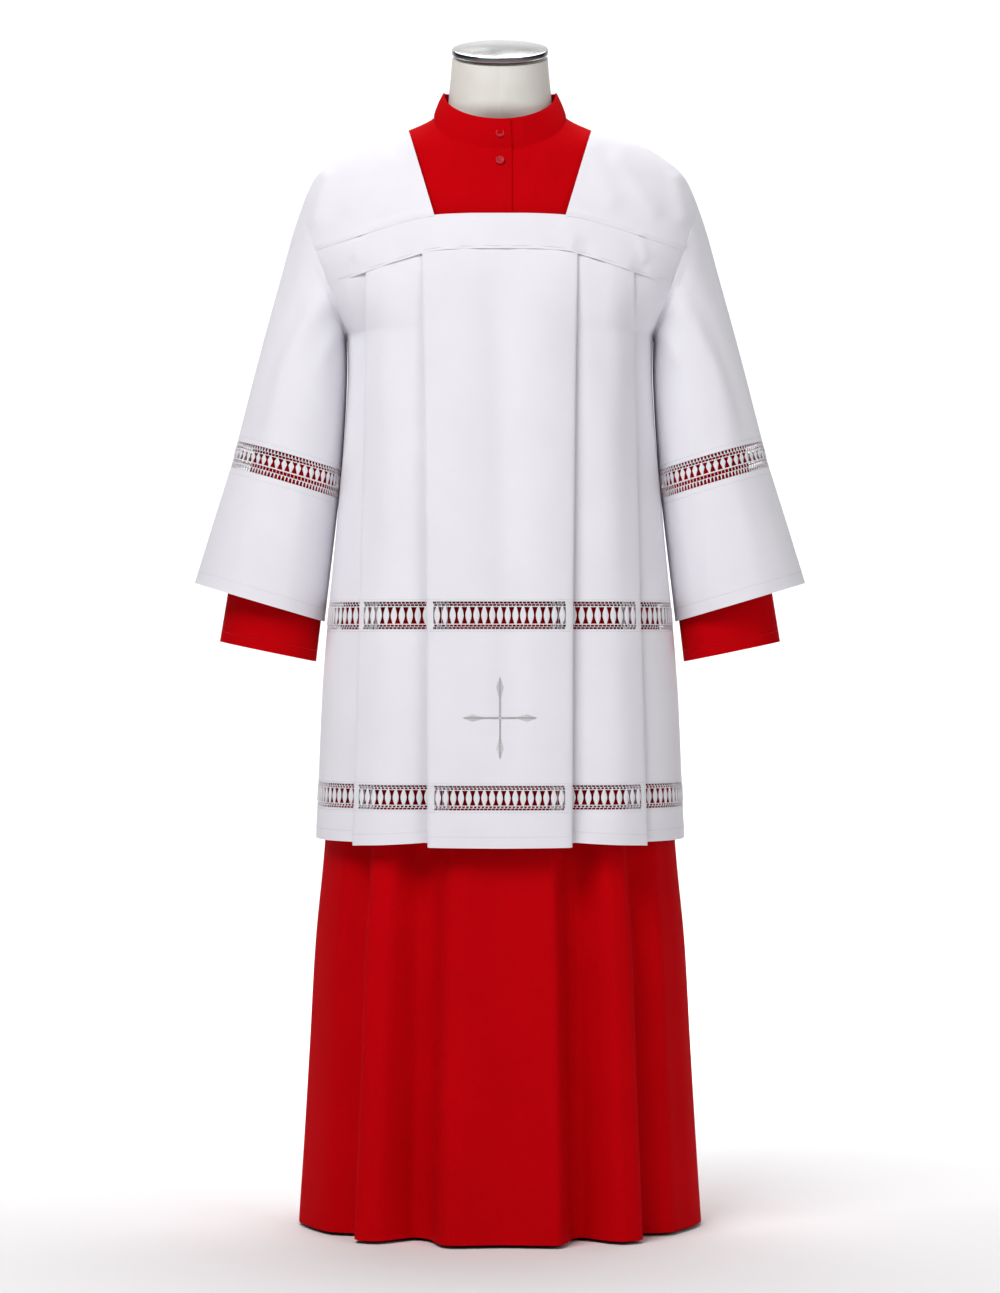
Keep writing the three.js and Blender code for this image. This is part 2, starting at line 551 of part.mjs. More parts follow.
// A stretch of sleeve, all round or over part of the turn, with gaps at its ends for the seams.
function makeSleevePiece(name, material, ringAt, cut) {
  const { at, around, thick, hand, turns = [0, 2 * Math.PI], gaps } = cut;
  const closed = turns[1] - turns[0] > 6.2;
  const perMm = (s) => 1 / Math.max(ringAt(s + 0.5).centre.distanceTo(ringAt(s - 0.5).centre), 1);
  const place = (s, h) => {
    const i = Math.min(Math.floor(h), at.length - 2);
    let along = lerp(at[i], at[i + 1], h - i);
    if (h === 0 && at[0] > 0) along += SLEEVE_SEAM / 2 * perMm(along);
    if (h === at.length - 1) along -= SLEEVE_SEAM / 2 * perMm(along);
    const share = hand > 0 ? s / around : 1 - s / around;
    return sleeveWall(ringAt, along, lerp(turns[1], turns[0], share), thick, hand);
  };
  cloth(name, material, { columns: around, rows: at.length - 1, closed, place, gaps });
}

// ---------- cassock ----------
const foldDepth = curve(FOLD_DEPTH, "z", "deep");
function foldAt(table) {
  const keys = column(table, "turn");
  return (degrees) => {
    const { i, f } = bracket(keys, degrees);
    return lerp(table[i].deep, table[i + 1].deep, ease(f));
  };
}
const frontFold = foldAt(FRONT_FOLDS);
const backFold = foldAt(BACK_FOLDS);
// A point of the cassock below the underarm by its turn from the front or back centre.
function cassockLevel(degrees, z, face) {
  const at = cassock.level(THREE.MathUtils.degToRad(degrees), z);
  const fold = (face < 0 ? frontFold : backFold)(degrees) * foldDepth(z);
  const p = new Vector2(at.x, at.y).addScaledVector(at.out, -fold);
  return new Vector3(-face * p.x, -face * p.y, z);
}
// The wall there, with its normal taken across and down the folded surface.
function foldedWall(degrees, z, face, gap = 0) {
  const d = 0.5;
  const across = cassockLevel(degrees + d, z, face).sub(cassockLevel(degrees - d, z, face));
  const down = cassockLevel(degrees, z - 1, face).sub(cassockLevel(degrees, z + 1, face));
  const p = cassockLevel(degrees, z, face).addScaledVector(across.clone().normalize(), gap);
  return wall(p, down.cross(across).normalize(), CASSOCK_CLOTH);
}
// The columns of a skirt panel: every fold row and the middle between two.
function foldColumns(table) {
  const turns = column(table, "turn");
  return turns.flatMap((t, i) => (i ? [(turns[i - 1] + t) / 2, t] : [t]));
}
const SKIRT_LEVELS = [640, 480, 330, 170, HEM_CLEARANCE];

// The cassock's neckline height at x, on the front or the back.
function necklineHeight(x, face) {
  const round = Math.max(1 - (x / NECKLINE.half) ** 2, 0);
  return face < 0
    ? lerp(NECKLINE.side, NECKLINE.front, Math.sqrt(round))
    : lerp(NECKLINE.side, NECKLINE.nape, round);
}
// Upper edge of a bodice panel at share u of its half width: the neckline, then the shoulder ridge.
const NECK_SHARE = 0.45;
function bodiceTop(u, face) {
  if (u <= NECK_SHARE) {
    const x = NECKLINE.half * Math.sin((u / NECK_SHARE) * (Math.PI / 2));
    return { x, z: necklineHeight(x, face) };
  }
  const x = lerp(NECKLINE.half, CASSOCK_LEVELS.armhole.top.x, (u - NECK_SHARE) / (1 - NECK_SHARE));
  return { x, z: cassock.ridgeHeight(x) };
}
// A point of the bodice above the underarm: u from centre to side, t from upper edge to underarm level.
function bodicePoint(u, t, face) {
  const top = bodiceTop(Math.abs(u), face);
  const under = CASSOCK_LEVELS.armhole.bottom.z;
  const z = lerp(top.z, under, t * t);
  const level = cassock.level(Math.abs(u) * Math.PI / 2, under).x;
  const straight = lerp(top.x, level, t * t);
  const { top: shoulder, bottom: underarm } = CASSOCK_LEVELS.armhole;
  const bow = (cassock.arm(z).x - lerp(shoulder.x, underarm.x, t * t)) * u * u;
  const atArm = Math.abs(u) === 1 && t > 0 && t < 1;
  const x = atArm ? cassock.arm(z).x : straight + bow;
  const onRidge = t === 0 && Math.abs(u) >= NECK_SHARE;
  return new Vector3(Math.sign(u) * x, lean(z) + face * (onRidge ? 0 : cassock.reach(x, z)), z);
}
const BODICE_DROPS = [0, 0.25, 0.5, 0.72, 0.9, 1];
const NECK_TURNS = [0, 22.5, 45, 67.5, 90];
const BODICE_SHARES = [...NECK_TURNS.map((d) => (NECK_SHARE * d) / 90), 0.58, 0.72, 0.86, 1];
// How far the under edge lies behind at x, so that the upper edge can pass over it.
const lapDrop = (x) => LAP_DROP * (1 - ease((x - LAP_CLEAR) / (LAP_CLEAR - 2)));
// One face of the bodice and what is below it, as a wall.
function bodiceWall(u, row, face, below) {
  const edge = Math.abs(u) === 1 ? -Math.sign(u) * SEAM / 2 : 0;
  if (row < BODICE_DROPS.length) {
    const p = bodicePoint(u, BODICE_DROPS[row], face);
    const n = cassock.normal(p);
    const onRidge = row === 0 && Math.abs(u) >= NECK_SHARE;
    const underarm = row === BODICE_DROPS.length - 1 && edge;
    if (onRidge || underarm) p.y += face * SEAM / 2;
    if (!underarm) p.x += edge;
    return wall(p, n, CASSOCK_CLOTH);
  }
  const degrees = -face * 90 * u;
  return foldedWall(degrees, below[row - BODICE_DROPS.length], face, edge * -face);
}
function makeBack() {
  const below = [WAIST, ...SKIRT_LEVELS];
  const turns = foldColumns(BACK_FOLDS);
  const place = (s, h) => bodiceWall(-turns[s] / 90, h, 1, below);
  const rows = BODICE_DROPS.length + below.length - 1;
  cloth("cassock_back", RED, { columns: turns.length - 1, rows, place });
}
// A front bodice: the right one laps over the centre, and the left one passes under it.
function makeBodice(name, hand) {
  const side = BODICE_SHARES.slice(1).map((share) => ({ share }));
  const columns = [{ x: -LAP }, { x: 0 }, { x: LAP_CLEAR }, ...side]; // from the opening's edge outwards
  const place = (s, h) => {
    const c = columns[hand < 0 ? columns.length - 1 - s : s];
    const flat = "x" in c;
    const { outer } = bodiceWall(flat ? 0 : hand * c.share, h, -1, [WAIST + SEAM]);
    if (flat) outer.x = hand * c.x;
    if (flat && h === 0) outer.z = necklineHeight(outer.x, -1);
    const onPanel = flat || h > 0 || c.share < NECK_SHARE;
    const p = onPanel && Math.abs(outer.x) < 60 ? onTrunk(cassock, outer.x, outer.z, -1) : outer;
    const n = cassock.normal(p);
    if (hand > 0) p.addScaledVector(n, -lapDrop(p.x));
    return wall(p, n, CASSOCK_CLOTH);
  };
  cloth(name, RED, { columns: columns.length - 1, rows: BODICE_DROPS.length, place });
}
function makeSkirtFront() {
  const turns = foldColumns(FRONT_FOLDS);
  const levels = [WAIST - SEAM, ...SKIRT_LEVELS];
  const place = (s, h) => {
    const gap = s === 0 ? SEAM / 2 : s === turns.length - 1 ? -SEAM / 2 : 0;
    return foldedWall(turns[s], levels[h], -1, gap);
  };
  cloth("cassock_skirt_front", RED, { columns: turns.length - 1, rows: levels.length - 1, place });
}
// The stand collar: one band round the neck whose left end passes under its right end at the front.
function makeCollar() {
  // from the under end round the back to the upper end, at the same stations as the panels it is sewn to
  const left = NECK_TURNS.slice(1);
  const back = foldColumns(BACK_FOLDS).map((d) => 180 + d / NECK_SHARE).filter((d) => d > 91 && d < 269);
  const right = left.map((d) => 360 - d).reverse();
  const turnAt = (x) => THREE.MathUtils.radToDeg(Math.asin(x / NECKLINE.half));
  const [lapTurn, clearTurn] = [turnAt(LAP), turnAt(LAP_CLEAR)];
  const turns = [-lapTurn, 0, clearTurn, ...left, ...back, ...right, 360 - clearTurn, 360, 360 + lapTurn];
  const place = (s, h) => {
    const degrees = turns[s];
    const turn = THREE.MathUtils.degToRad(degrees);
    const face = Math.cos(turn) > 0 ? -1 : 1;
    const low = new Vector3(NECKLINE.half * Math.sin(turn), 0, 0);
    low.z = necklineHeight(low.x, face) + 2 * SEAM;
    low.y = lean(low.z) + face * cassock.reach(low.x, low.z);
    const end = face < 0 ? COLLAR_TOP.front : COLLAR_TOP.nape;
    const rise = face < 0 ? Math.cos(turn) : Math.cos(turn) ** 2;
    const high = new Vector3(
      COLLAR_TOP.half * Math.sin(turn),
      COLLAR_TOP.centreY - COLLAR_TOP.halfDepth * Math.cos(turn),
      lerp(COLLAR_TOP.side, end, rise),
    );
    const level = new Vector3(Math.sin(turn) / NECKLINE.half, -Math.cos(turn) / COLLAR_TOP.halfDepth, 0);
    const n = h ? cassock.normal(low) : level.normalize(); // the lower edge is mitred to the panels
    const p = (h ? low : high).addScaledVector(n, degrees < 90 ? -lapDrop(low.x) : 0);
    return wall(p, n, CASSOCK_CLOTH);
  };
  cloth("cassock_collar", RED, { columns: turns.length - 1, rows: 1, place });
}

// ---------- buttons and form ----------
function lathe(outline, segments) {
  return new THREE.LatheGeometry(outline.map(([r, y]) => new Vector2(r, y)), segments);
}
// A round button with a raised lip, lying on a point of the cloth and facing along n.
function makeButton(name, p, n) {
  const { radius, thick, dish, lip } = BUTTON;
  const floor = thick - dish;
  const rim = [[radius, 0], [radius, thick], [radius - lip, thick], [radius - lip - 0.4, floor]];
  const mesh = add(name, lathe([[0, 0], ...rim, [0, floor]], 12), BUTTON_RED);
  mesh.quaternion.setFromUnitVectors(new Vector3(0, 1, 0), n);
  mesh.position.copy(p).addScaledVector(n, 2 * SEAM);
}
function makeForm() {
  const around = 32;
  const points = [];
  const faces = [];
  const read = Object.fromEntries(["half", "deep", "y", "tilt"].map((k) => [k, curve(TRUNK, "z", k)]));
  const heights = column(TRUNK, "z");
  heights.forEach((z) => {
    const tilt = THREE.MathUtils.degToRad(read.tilt(z));
    for (let i = 0; i < around; i++) {
      const turn = (i / around) * 2 * Math.PI;
      const bulge = lerp(BULGE, 2, ease((z - 1200) / 40));
      const x = read.half(z) * power(Math.sin(turn), 2 / bulge);
      const d = -read.deep(z) * power(Math.cos(turn), 2 / bulge);
      points.push(x, read.y(z) + d * Math.cos(tilt), z + d * Math.sin(tilt));
    }
  });
  const rings = heights.length;
  points.push(0, read.y(heights[0]), heights[0], 0, read.y(heights.at(-1)), heights.at(-1));
  const [low, high] = [rings * around, rings * around + 1];
  for (let i = 0; i < around; i++) {
    const next = (i + 1) % around;
    for (let j = 0; j < rings - 1; j++) {
      const [a, b] = [j * around + i, j * around + next];
      faces.push(a, b, b + around, a, b + around, a + around);
    }
    faces.push(low, next, i, high, (rings - 1) * around + i, (rings - 1) * around + next);
  }
  const geometry = new THREE.BufferGeometry();
  geometry.setAttribute("position", new THREE.Float32BufferAttribute(points, 3));
  geometry.setIndex(faces);
  geometry.computeVertexNormals();
  add("form_trunk", geometry, FORM_COVER);

  const neck = TRUNK.at(-1);
  const { radius, height, crown } = CAP;
  const capEdge = [[radius, 0], [radius, height - 1], [radius - 1.2, height]];
  const cap = add("form_cap", lathe([[0, 0], ...capEdge, [0, height + crown]], 40), STEEL);
  const tilt = THREE.MathUtils.degToRad(neck.tilt);
  cap.rotation.x = Math.PI / 2 + tilt;
  cap.position.set(0, neck.y - SEAM * Math.sin(tilt), neck.z + SEAM * Math.cos(tilt));

  const poleEnds = [POLE.foot, TRUNK[0].z - SEAM];
  const poleSide = poleEnds.map((z) => [POLE.radius, z]);
  const pole = add("form_pole", lathe([[0, poleEnds[0]], ...poleSide, [0, poleEnds[1]]], 16), DARK_STEEL);
  pole.rotation.x = Math.PI / 2;
  const footEdge = [[FOOT.radius, 0], [FOOT.radius, FOOT.edge], [FOOT.hub, FOOT.height]];
  const foot = add("form_foot", lathe([[0, 0], ...footEdge, [0, FOOT.height]], 40), DARK_STEEL);
  foot.rotation.x = Math.PI / 2;
}

// ---------- assembly ----------
function makeSurplice() {
  for (const [side, face] of [["front", -1], ["back", 1]]) {
    makeYoke(side, face);
    const top = skirtTop(side);
    const underarm = SURPLICE_LEVELS.armhole.bottom.z;
    const upper = [0, 0.45, 0.8].map((t) => (s) => lerp(top(s), underarm, t));
    const body = [...upper, underarm, 850, LACE_UPPER.top + SEAM / 2];
    makeSkirtPiece(`surplice_body_${side}`, WHITE, face, body);
    for (const [name, { top: high, bottom: low }] of [["upper", LACE_UPPER], ["lower", LACE_LOWER]]) {
      const levels = [high - SEAM / 2, low + SEAM / 2];
      makeSkirtPiece(`surplice_lace_${name}_${side}`, LACE_WHITE, face, levels, ladderGaps((high + low) / 2));
    }
    const middle = [LACE_UPPER.bottom - SEAM / 2, LACE_LOWER.top + SEAM / 2];
    makeSkirtPiece(`surplice_middle_${side}`, WHITE, face, middle);
    makeSkirtPiece(`surplice_hem_${side}`, WHITE, face, [LACE_LOWER.bottom - SEAM / 2, SURPLICE_HEM]);
  }
  for (const [name, hand] of [["left", 1], ["right", -1]]) {
    makeShoulder(`surplice_shoulder_${name}`, hand);
    const cut = { thick: SURPLICE_CLOTH, around: 20, hand };
    makeSleevePiece(`surplice_sleeve_${name}`, WHITE, surpliceSleeve, { ...cut, at: SLEEVE_PARTS.sleeve });
    makeSleevePiece(`surplice_cuff_${name}`, WHITE, surpliceSleeve, { ...cut, at: SLEEVE_PARTS.cuff });
    for (const [side, start] of [["front", 0], ["back", Math.PI]]) {
      makeSleevePiece(`surplice_sleeve_lace_${name}_${side}`, LACE_WHITE, surpliceSleeve, {
        ...cut,
        at: SLEEVE_PARTS.lace,
        around: SLEEVE_LADDER.gaps,
        turns: [start + 0.004, start + Math.PI - 0.004],
        gaps: (i) => [ladderGap(i + 0.5, SLEEVE_LADDER.gap / 2)],
      });
    }
  }
}
function makeCassock() {
  makeBack();
  makeBodice("cassock_bodice_right", -1);
  makeBodice("cassock_bodice_left", 1);
  makeSkirtFront();
  makeCollar();
  for (const [name, hand] of [["left", 1], ["right", -1]]) {
    const cut = { at: column(CASSOCK_SLEEVE, "s"), around: 16, thick: CASSOCK_CLOTH, hand };
    makeSleevePiece(`cassock_sleeve_${name}`, RED, cassockSleeve, cut);
  }
  const collarFoot = onTrunk(cassock, 0, NECKLINE.front, -1).y;
  const collarEdge = COLLAR_TOP.centreY - COLLAR_TOP.halfDepth;
  const collarFront = new Vector3(0, (collarFoot + collarEdge) / 2, BUTTON_HEIGHTS.collar);
  makeButton("cassock_button_collar", collarFront, new Vector3(0, -1, 0));
  const chest = onTrunk(cassock, 0, BUTTON_HEIGHTS.chest, -1);
  makeButton("cassock_button_chest", chest, cassock.normal(chest));
}

makeForm();
makeCassock();
makeSurplice();

export default robe;
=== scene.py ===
"""An altar server's robe on a limbless dress form: a red cassock under a pleated white surplice with lace."""

import math

import bpy
import numpy as np
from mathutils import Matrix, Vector


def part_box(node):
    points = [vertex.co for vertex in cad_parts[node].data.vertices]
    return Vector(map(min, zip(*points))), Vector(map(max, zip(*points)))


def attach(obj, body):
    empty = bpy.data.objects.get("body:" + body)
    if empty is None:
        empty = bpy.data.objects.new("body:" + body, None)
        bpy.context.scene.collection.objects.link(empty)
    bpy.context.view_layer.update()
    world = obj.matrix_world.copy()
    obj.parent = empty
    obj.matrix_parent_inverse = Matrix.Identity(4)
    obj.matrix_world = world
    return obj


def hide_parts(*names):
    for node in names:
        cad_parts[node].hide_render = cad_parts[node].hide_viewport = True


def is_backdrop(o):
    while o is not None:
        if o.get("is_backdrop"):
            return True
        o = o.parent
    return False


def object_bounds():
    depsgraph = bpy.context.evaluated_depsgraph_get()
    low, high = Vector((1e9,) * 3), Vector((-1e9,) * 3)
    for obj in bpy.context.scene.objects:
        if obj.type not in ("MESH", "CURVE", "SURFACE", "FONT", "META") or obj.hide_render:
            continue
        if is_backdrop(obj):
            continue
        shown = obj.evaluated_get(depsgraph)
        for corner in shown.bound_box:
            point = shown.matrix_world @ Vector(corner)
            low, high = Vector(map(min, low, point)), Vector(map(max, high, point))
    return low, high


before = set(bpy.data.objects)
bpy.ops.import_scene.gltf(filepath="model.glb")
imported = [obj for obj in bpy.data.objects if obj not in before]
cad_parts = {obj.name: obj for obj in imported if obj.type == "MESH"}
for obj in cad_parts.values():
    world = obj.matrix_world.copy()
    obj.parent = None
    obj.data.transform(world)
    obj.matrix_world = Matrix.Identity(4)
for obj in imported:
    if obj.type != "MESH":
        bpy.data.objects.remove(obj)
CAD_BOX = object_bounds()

bl_info = {
    "name": "Altar server robe",
    "version": (1, 0, 0),
    "blender": (4, 5, 0),
    "location": "3D View > Sidebar > Robe",
    "description": "Cuts and drapes a cassock and surplice over a dress form",
    "category": "Add Mesh",
}

# ---------------------------------------------------------------- shape, in millimetres

MM = 0.001
BULGE = 2.4  # exponent of the superelliptic levels
LEAN = {"from": 1150, "to": 1262, "forward": 16}  # the shoulders and neck stand forward
HEM_CLEARANCE = 4  # cassock's hem above the floor
WAIST = 820  # seam between the cassock's fronts and its front skirt
LAP, LAP_CLEAR = 13, 15  # reach of the front lap past the centre, and where the under front has come forward
LAP_GAP = 0.5  # between the two layers of a lap
COLLAR_EXTRA = 0.5  # a collar is two layers of cloth
SEAM_OVERLAP = 1.4  # how far two sewn pieces reach past each other
SEAM_GAP = 0.3  # on each side of the cassock's front waist seam
HALF_CLOTH = 0.45  # from the outer face of the pleated cloth to its middle
STITCH_LIFT = 0.05  # of a line of stitches above the cloth

# A trunk: half width below the underarm (side) and along the shoulder (ridge), half depth, and the armhole's
# ring by x and z of its top and bottom and by its half depth.
SURPLICE = {
    "side": {"z": [425, 478, 596, 674, 758, 820, 876, 937, 991],
             "half": [206, 203.3, 198.2, 192, 183.7, 178.6, 173.6, 170.2, 171.5]},
    "ridge": {"z": [1135, 1154, 1172, 1190.6, 1204, 1222, 1234, 1262],
              "half": [222, 214.5, 204, 181, 157, 103, 76, 40]},
    "depth": {"z": [425, 596, 758, 876, 991, 1063, 1116, 1154, 1190, 1222, 1262],
              "half": [168, 158, 148, 141, 135, 130, 118, 103, 83, 61, 52]},
    "armhole": {"top": (222, 1135), "bottom": (171.5, 991), "deep": 72},
}
CASSOCK = {
    "side": {"z": [4, 88, 202, 315, 418, 600, 820, 1012],
             "half": [225, 219.5, 212.8, 206.4, 196.6, 184, 165, 161]},
    "ridge": {"z": [1172, 1187, 1201.6, 1219.6, 1234, 1262],
              "half": [193, 178, 155, 103, 74, 62]},
    "depth": {"z": [4, 88, 202, 315, 418, 600, 820, 1012, 1092, 1140, 1190, 1220, 1262],
              "half": [195, 187, 176, 163, 148, 138, 127, 121, 116, 102.5, 77.5, 57, 55]},
    "armhole": {"top": (193, 1172), "bottom": (161, 1012), "deep": 62},
}
# A sleeve by stations s along it: x and z of its outer and its inner edge, and its half depth.
SURPLICE_SLEEVE = {
    "s": [0, 1, 2, 3, 4, 5, 6],
    "out_x": [222.5, 233, 246, 267, 293, 300.6, 341.5],
    "out_z": [1135, 1102, 1054, 977, 875, 844.5, 716],
    "in_x": [172, 171.5, 171.2, 173, 177.4, 180.6, 196.5],
    "in_z": [991, 974, 948, 904, 842, 809, 673],
    "deep": [72, 71, 70, 68.6, 67, 67, 68],
}
SLEEVE_LACE = (4, 5)  # stations that the lace lies between
SLEEVE_LACE_HEIGHT = 32.5
CASSOCK_SLEEVE = {
    "s": [0, 1, 2, 3, 4, 5, 6, 7],
    "out_x": [193.5, 204, 216, 228, 243, 270.5, 292, 313.6],
    "out_z": [1172, 1150, 1118, 1075, 1015, 890, 780, 650.7],
    "in_x": [161.5, 168, 176, 178, 178.5, 181.5, 190.5, 205.9],
    "in_z": [1012, 1004.5, 994, 976, 945, 862, 762, 628.3],
    "deep": [62, 61, 60, 59, 57, 53, 50, 48],
}
# The yoke: height of its upper seam at each centre, width of the band below it, half width of the neckline on
# the shoulder, and how far the seams fall from the centre to the armhole.
YOKE = {"front": 1117, "back": 1158, "band": 38, "neck": 103, "drop_front": 34.6, "drop_back": 55}
# Share of that fall, by share of the way out.
SEAM_FALL = {"share": [0, 0.175, 0.35, 0.448, 0.606, 0.779, 0.887, 1],
             "fall": [0, 0, 0.04, 0.13, 0.4, 0.7, 0.86, 1]}
NECK_CORNER = 0.35  # share of the yoke's half width at which the square neckline has its corner
# Pleats at three heights: x of each fold edge, cloth folded under it, and spacing of the layers.
PLEATS = {
    "z": [425, 694, 1076],
    "edge1": [78.7, 80, 84.8], "under1": [22, 22, 22], "pitch1": [8, 6.6, 3.8],
    "edge2": [162.5, 155, 147], "under2": [18, 18, 18], "pitch2": [6, 4.6, 3.2],
}
LACE_UPPER, LACE_LOWER, SURPLICE_HEM = (694, 663.4), (495.2, 468.3), 427.6  # upper and lower edges
# Folds of the cassock's skirt: depth by height, and its share by turn from the centre in degrees.
FOLD_DEPTH = {"z": [4, 202, 418, 600, 820], "deep": [52, 43, 31, 14, 0]}
FRONT_FOLDS = {
    "turn": [-90, -64, -50, -41, -34, -25, -19, -12, 0, 9, 14, 18, 23, 33, 40, 50, 64, 90],
    "deep": [0, 0.35, 0.75, 0.08, 0.15, 1, 0.85, 0.05, 0.2, 0.06, 0, 0.8, 1, 0.12, 0.08, 0.8, 0.3, 0],
}
BACK_FOLDS = {
    "turn": [-90, -70, -57, -46, -35, -20, -8, 3, 12, 22, 35, 46, 57, 70, 90],
    "deep": [0, 0.6, 0.1, 0.85, 0.05, 1, 0.05, 0.3, 0.05, 0.95, 0.1, 0.9, 0.05, 0.5, 0],
}
# The cassock's neckline and its collar's upper edge: half width, and heights at the side, front and back.
NECKLINE = {"half": 74, "side": 1234, "front": 1193, "nape": 1247}
NECK_SHARE = 0.45  # share of a bodice's columns that end at the neckline
COLLAR_TOP = {"half": 62.8, "y": -22, "deep": 61, "side": 1262, "front": 1225, "nape": 1275}
# The form: half width, half depth, y of the centre and forward tilt in degrees, by height.
TRUNK = {
    "z": [640, 780, 860, 1000, 1060, 1110, 1150, 1172, 1186,
          1198, 1209, 1218, 1226, 1236, 1248, 1262, 1284, 1303],
    "half": [150, 141, 138, 149, 164, 175, 179, 176, 169, 149, 120, 90, 69, 61, 57.8, 56.6, 54.4, 52.8],
    "deep": [112, 104, 104, 112, 109, 101, 88, 76, 66, 57, 50, 46, 48, 50, 52, 53, 53.2, 52.8],
    "y": [0, 0, 0, 0, 0, 0, 0, -2, -5, -7, -9, -11, -15, -19, -22, -24, -29, -33.5],
    "tilt": [0, 0, 0, 0, 0, 0, 0, 0, 0, 0, 0, 0, 1, 3, 6, 10, 16, 20],
}
CAP = {"radius": 53.6, "height": 6, "crown": 2, "corner": 1.4, "gap": 0.3}  # gap to the neck below it

# The cut of each sheet before it is sewn and hung: width and length in metres, flat area in square metres.
CUTS = {
    "cassock_back": (0.783, 1.296, 0.691),
    "cassock_bodice": (0.278, 0.459, 0.0945),
    "cassock_skirt_front": (0.758, 0.819, 0.492),
    "cassock_collar": (0.498, 0.040, 0.0148),
    "cassock_sleeve": (0.458, 0.537, 0.146),
    "surplice_yoke_front": (0.438, 0.045, 0.0187),
    "surplice_yoke_back": (0.462, 0.047, 0.0203),
    "surplice_shoulder": (0.161, 0.312, 0.0415),
    "surplice_body_front": (0.757, 0.397, 0.265),
    "surplice_body_back": (0.756, 0.432, 0.286),
    "surplice_middle": (0.801, 0.169, 0.132),
    "surplice_hem": (0.811, 0.041, 0.0308),
    "surplice_lace_upper": (0.787, 0.031, 0.0122),
    "surplice_lace_lower": (0.831, 0.027, 0.0117),
    "surplice_sleeve": (0.470, 0.270, 0.0799),
    "surplice_cuff": (0.453, 0.137, 0.0585),
    "surplice_sleeve_lace": (0.426, 0.033, 0.0064),
}


def smooth(t):
    """Eases from 0 to 1 as t does."""
    t = np.clip(t, 0, 1)
    return t * t * (3 - 2 * t)


def mix(a, b, t):
    return a + (b - a) * t


def unit(v):
    """Vectors brought to length 1."""
    return v / np.linalg.norm(v, axis=-1, keepdims=True)


def run_of(points):
    """Running length at each point of a line."""
    return np.concatenate([[0], np.cumsum(np.linalg.norm(np.diff(points, axis=0), axis=1))])


def between(at, key, points):
    """Points of a line at values of its key."""
    return np.stack([np.interp(at, key, points[:, a]) for a in range(3)], 1)


def curve(table, key, name):
    """A smooth reading of a table's column: cubic pieces that share their slopes."""
    k, v = np.array(table[key], float), np.array(table[name], float)
    back, ahead = np.maximum(np.arange(len(k)) - 1, 0), np.minimum(np.arange(len(k)) + 1, len(k) - 1)
    slope = (v[ahead] - v[back]) / (k[ahead] - k[back])

    def read(t):
        t = np.clip(t, k[0], k[-1])
        i = np.clip(np.searchsorted(k, t, side="right") - 1, 0, len(k) - 2)
        step = k[i + 1] - k[i]
        f = (t - k[i]) / step
        f2, f3 = f * f, f * f * f
        ends = (2 * f3 - 3 * f2 + 1) * v[i] + (3 * f2 - 2 * f3) * v[i + 1]
        return ends + step * ((f3 - 2 * f2 + f) * slope[i] + (f3 - f2) * slope[i + 1])

    return read


def lean(z):
    """How far forward a garment's level stands at height z, as y."""
    return -LEAN["forward"] * smooth((z - LEAN["from"]) / (LEAN["to"] - LEAN["from"]))


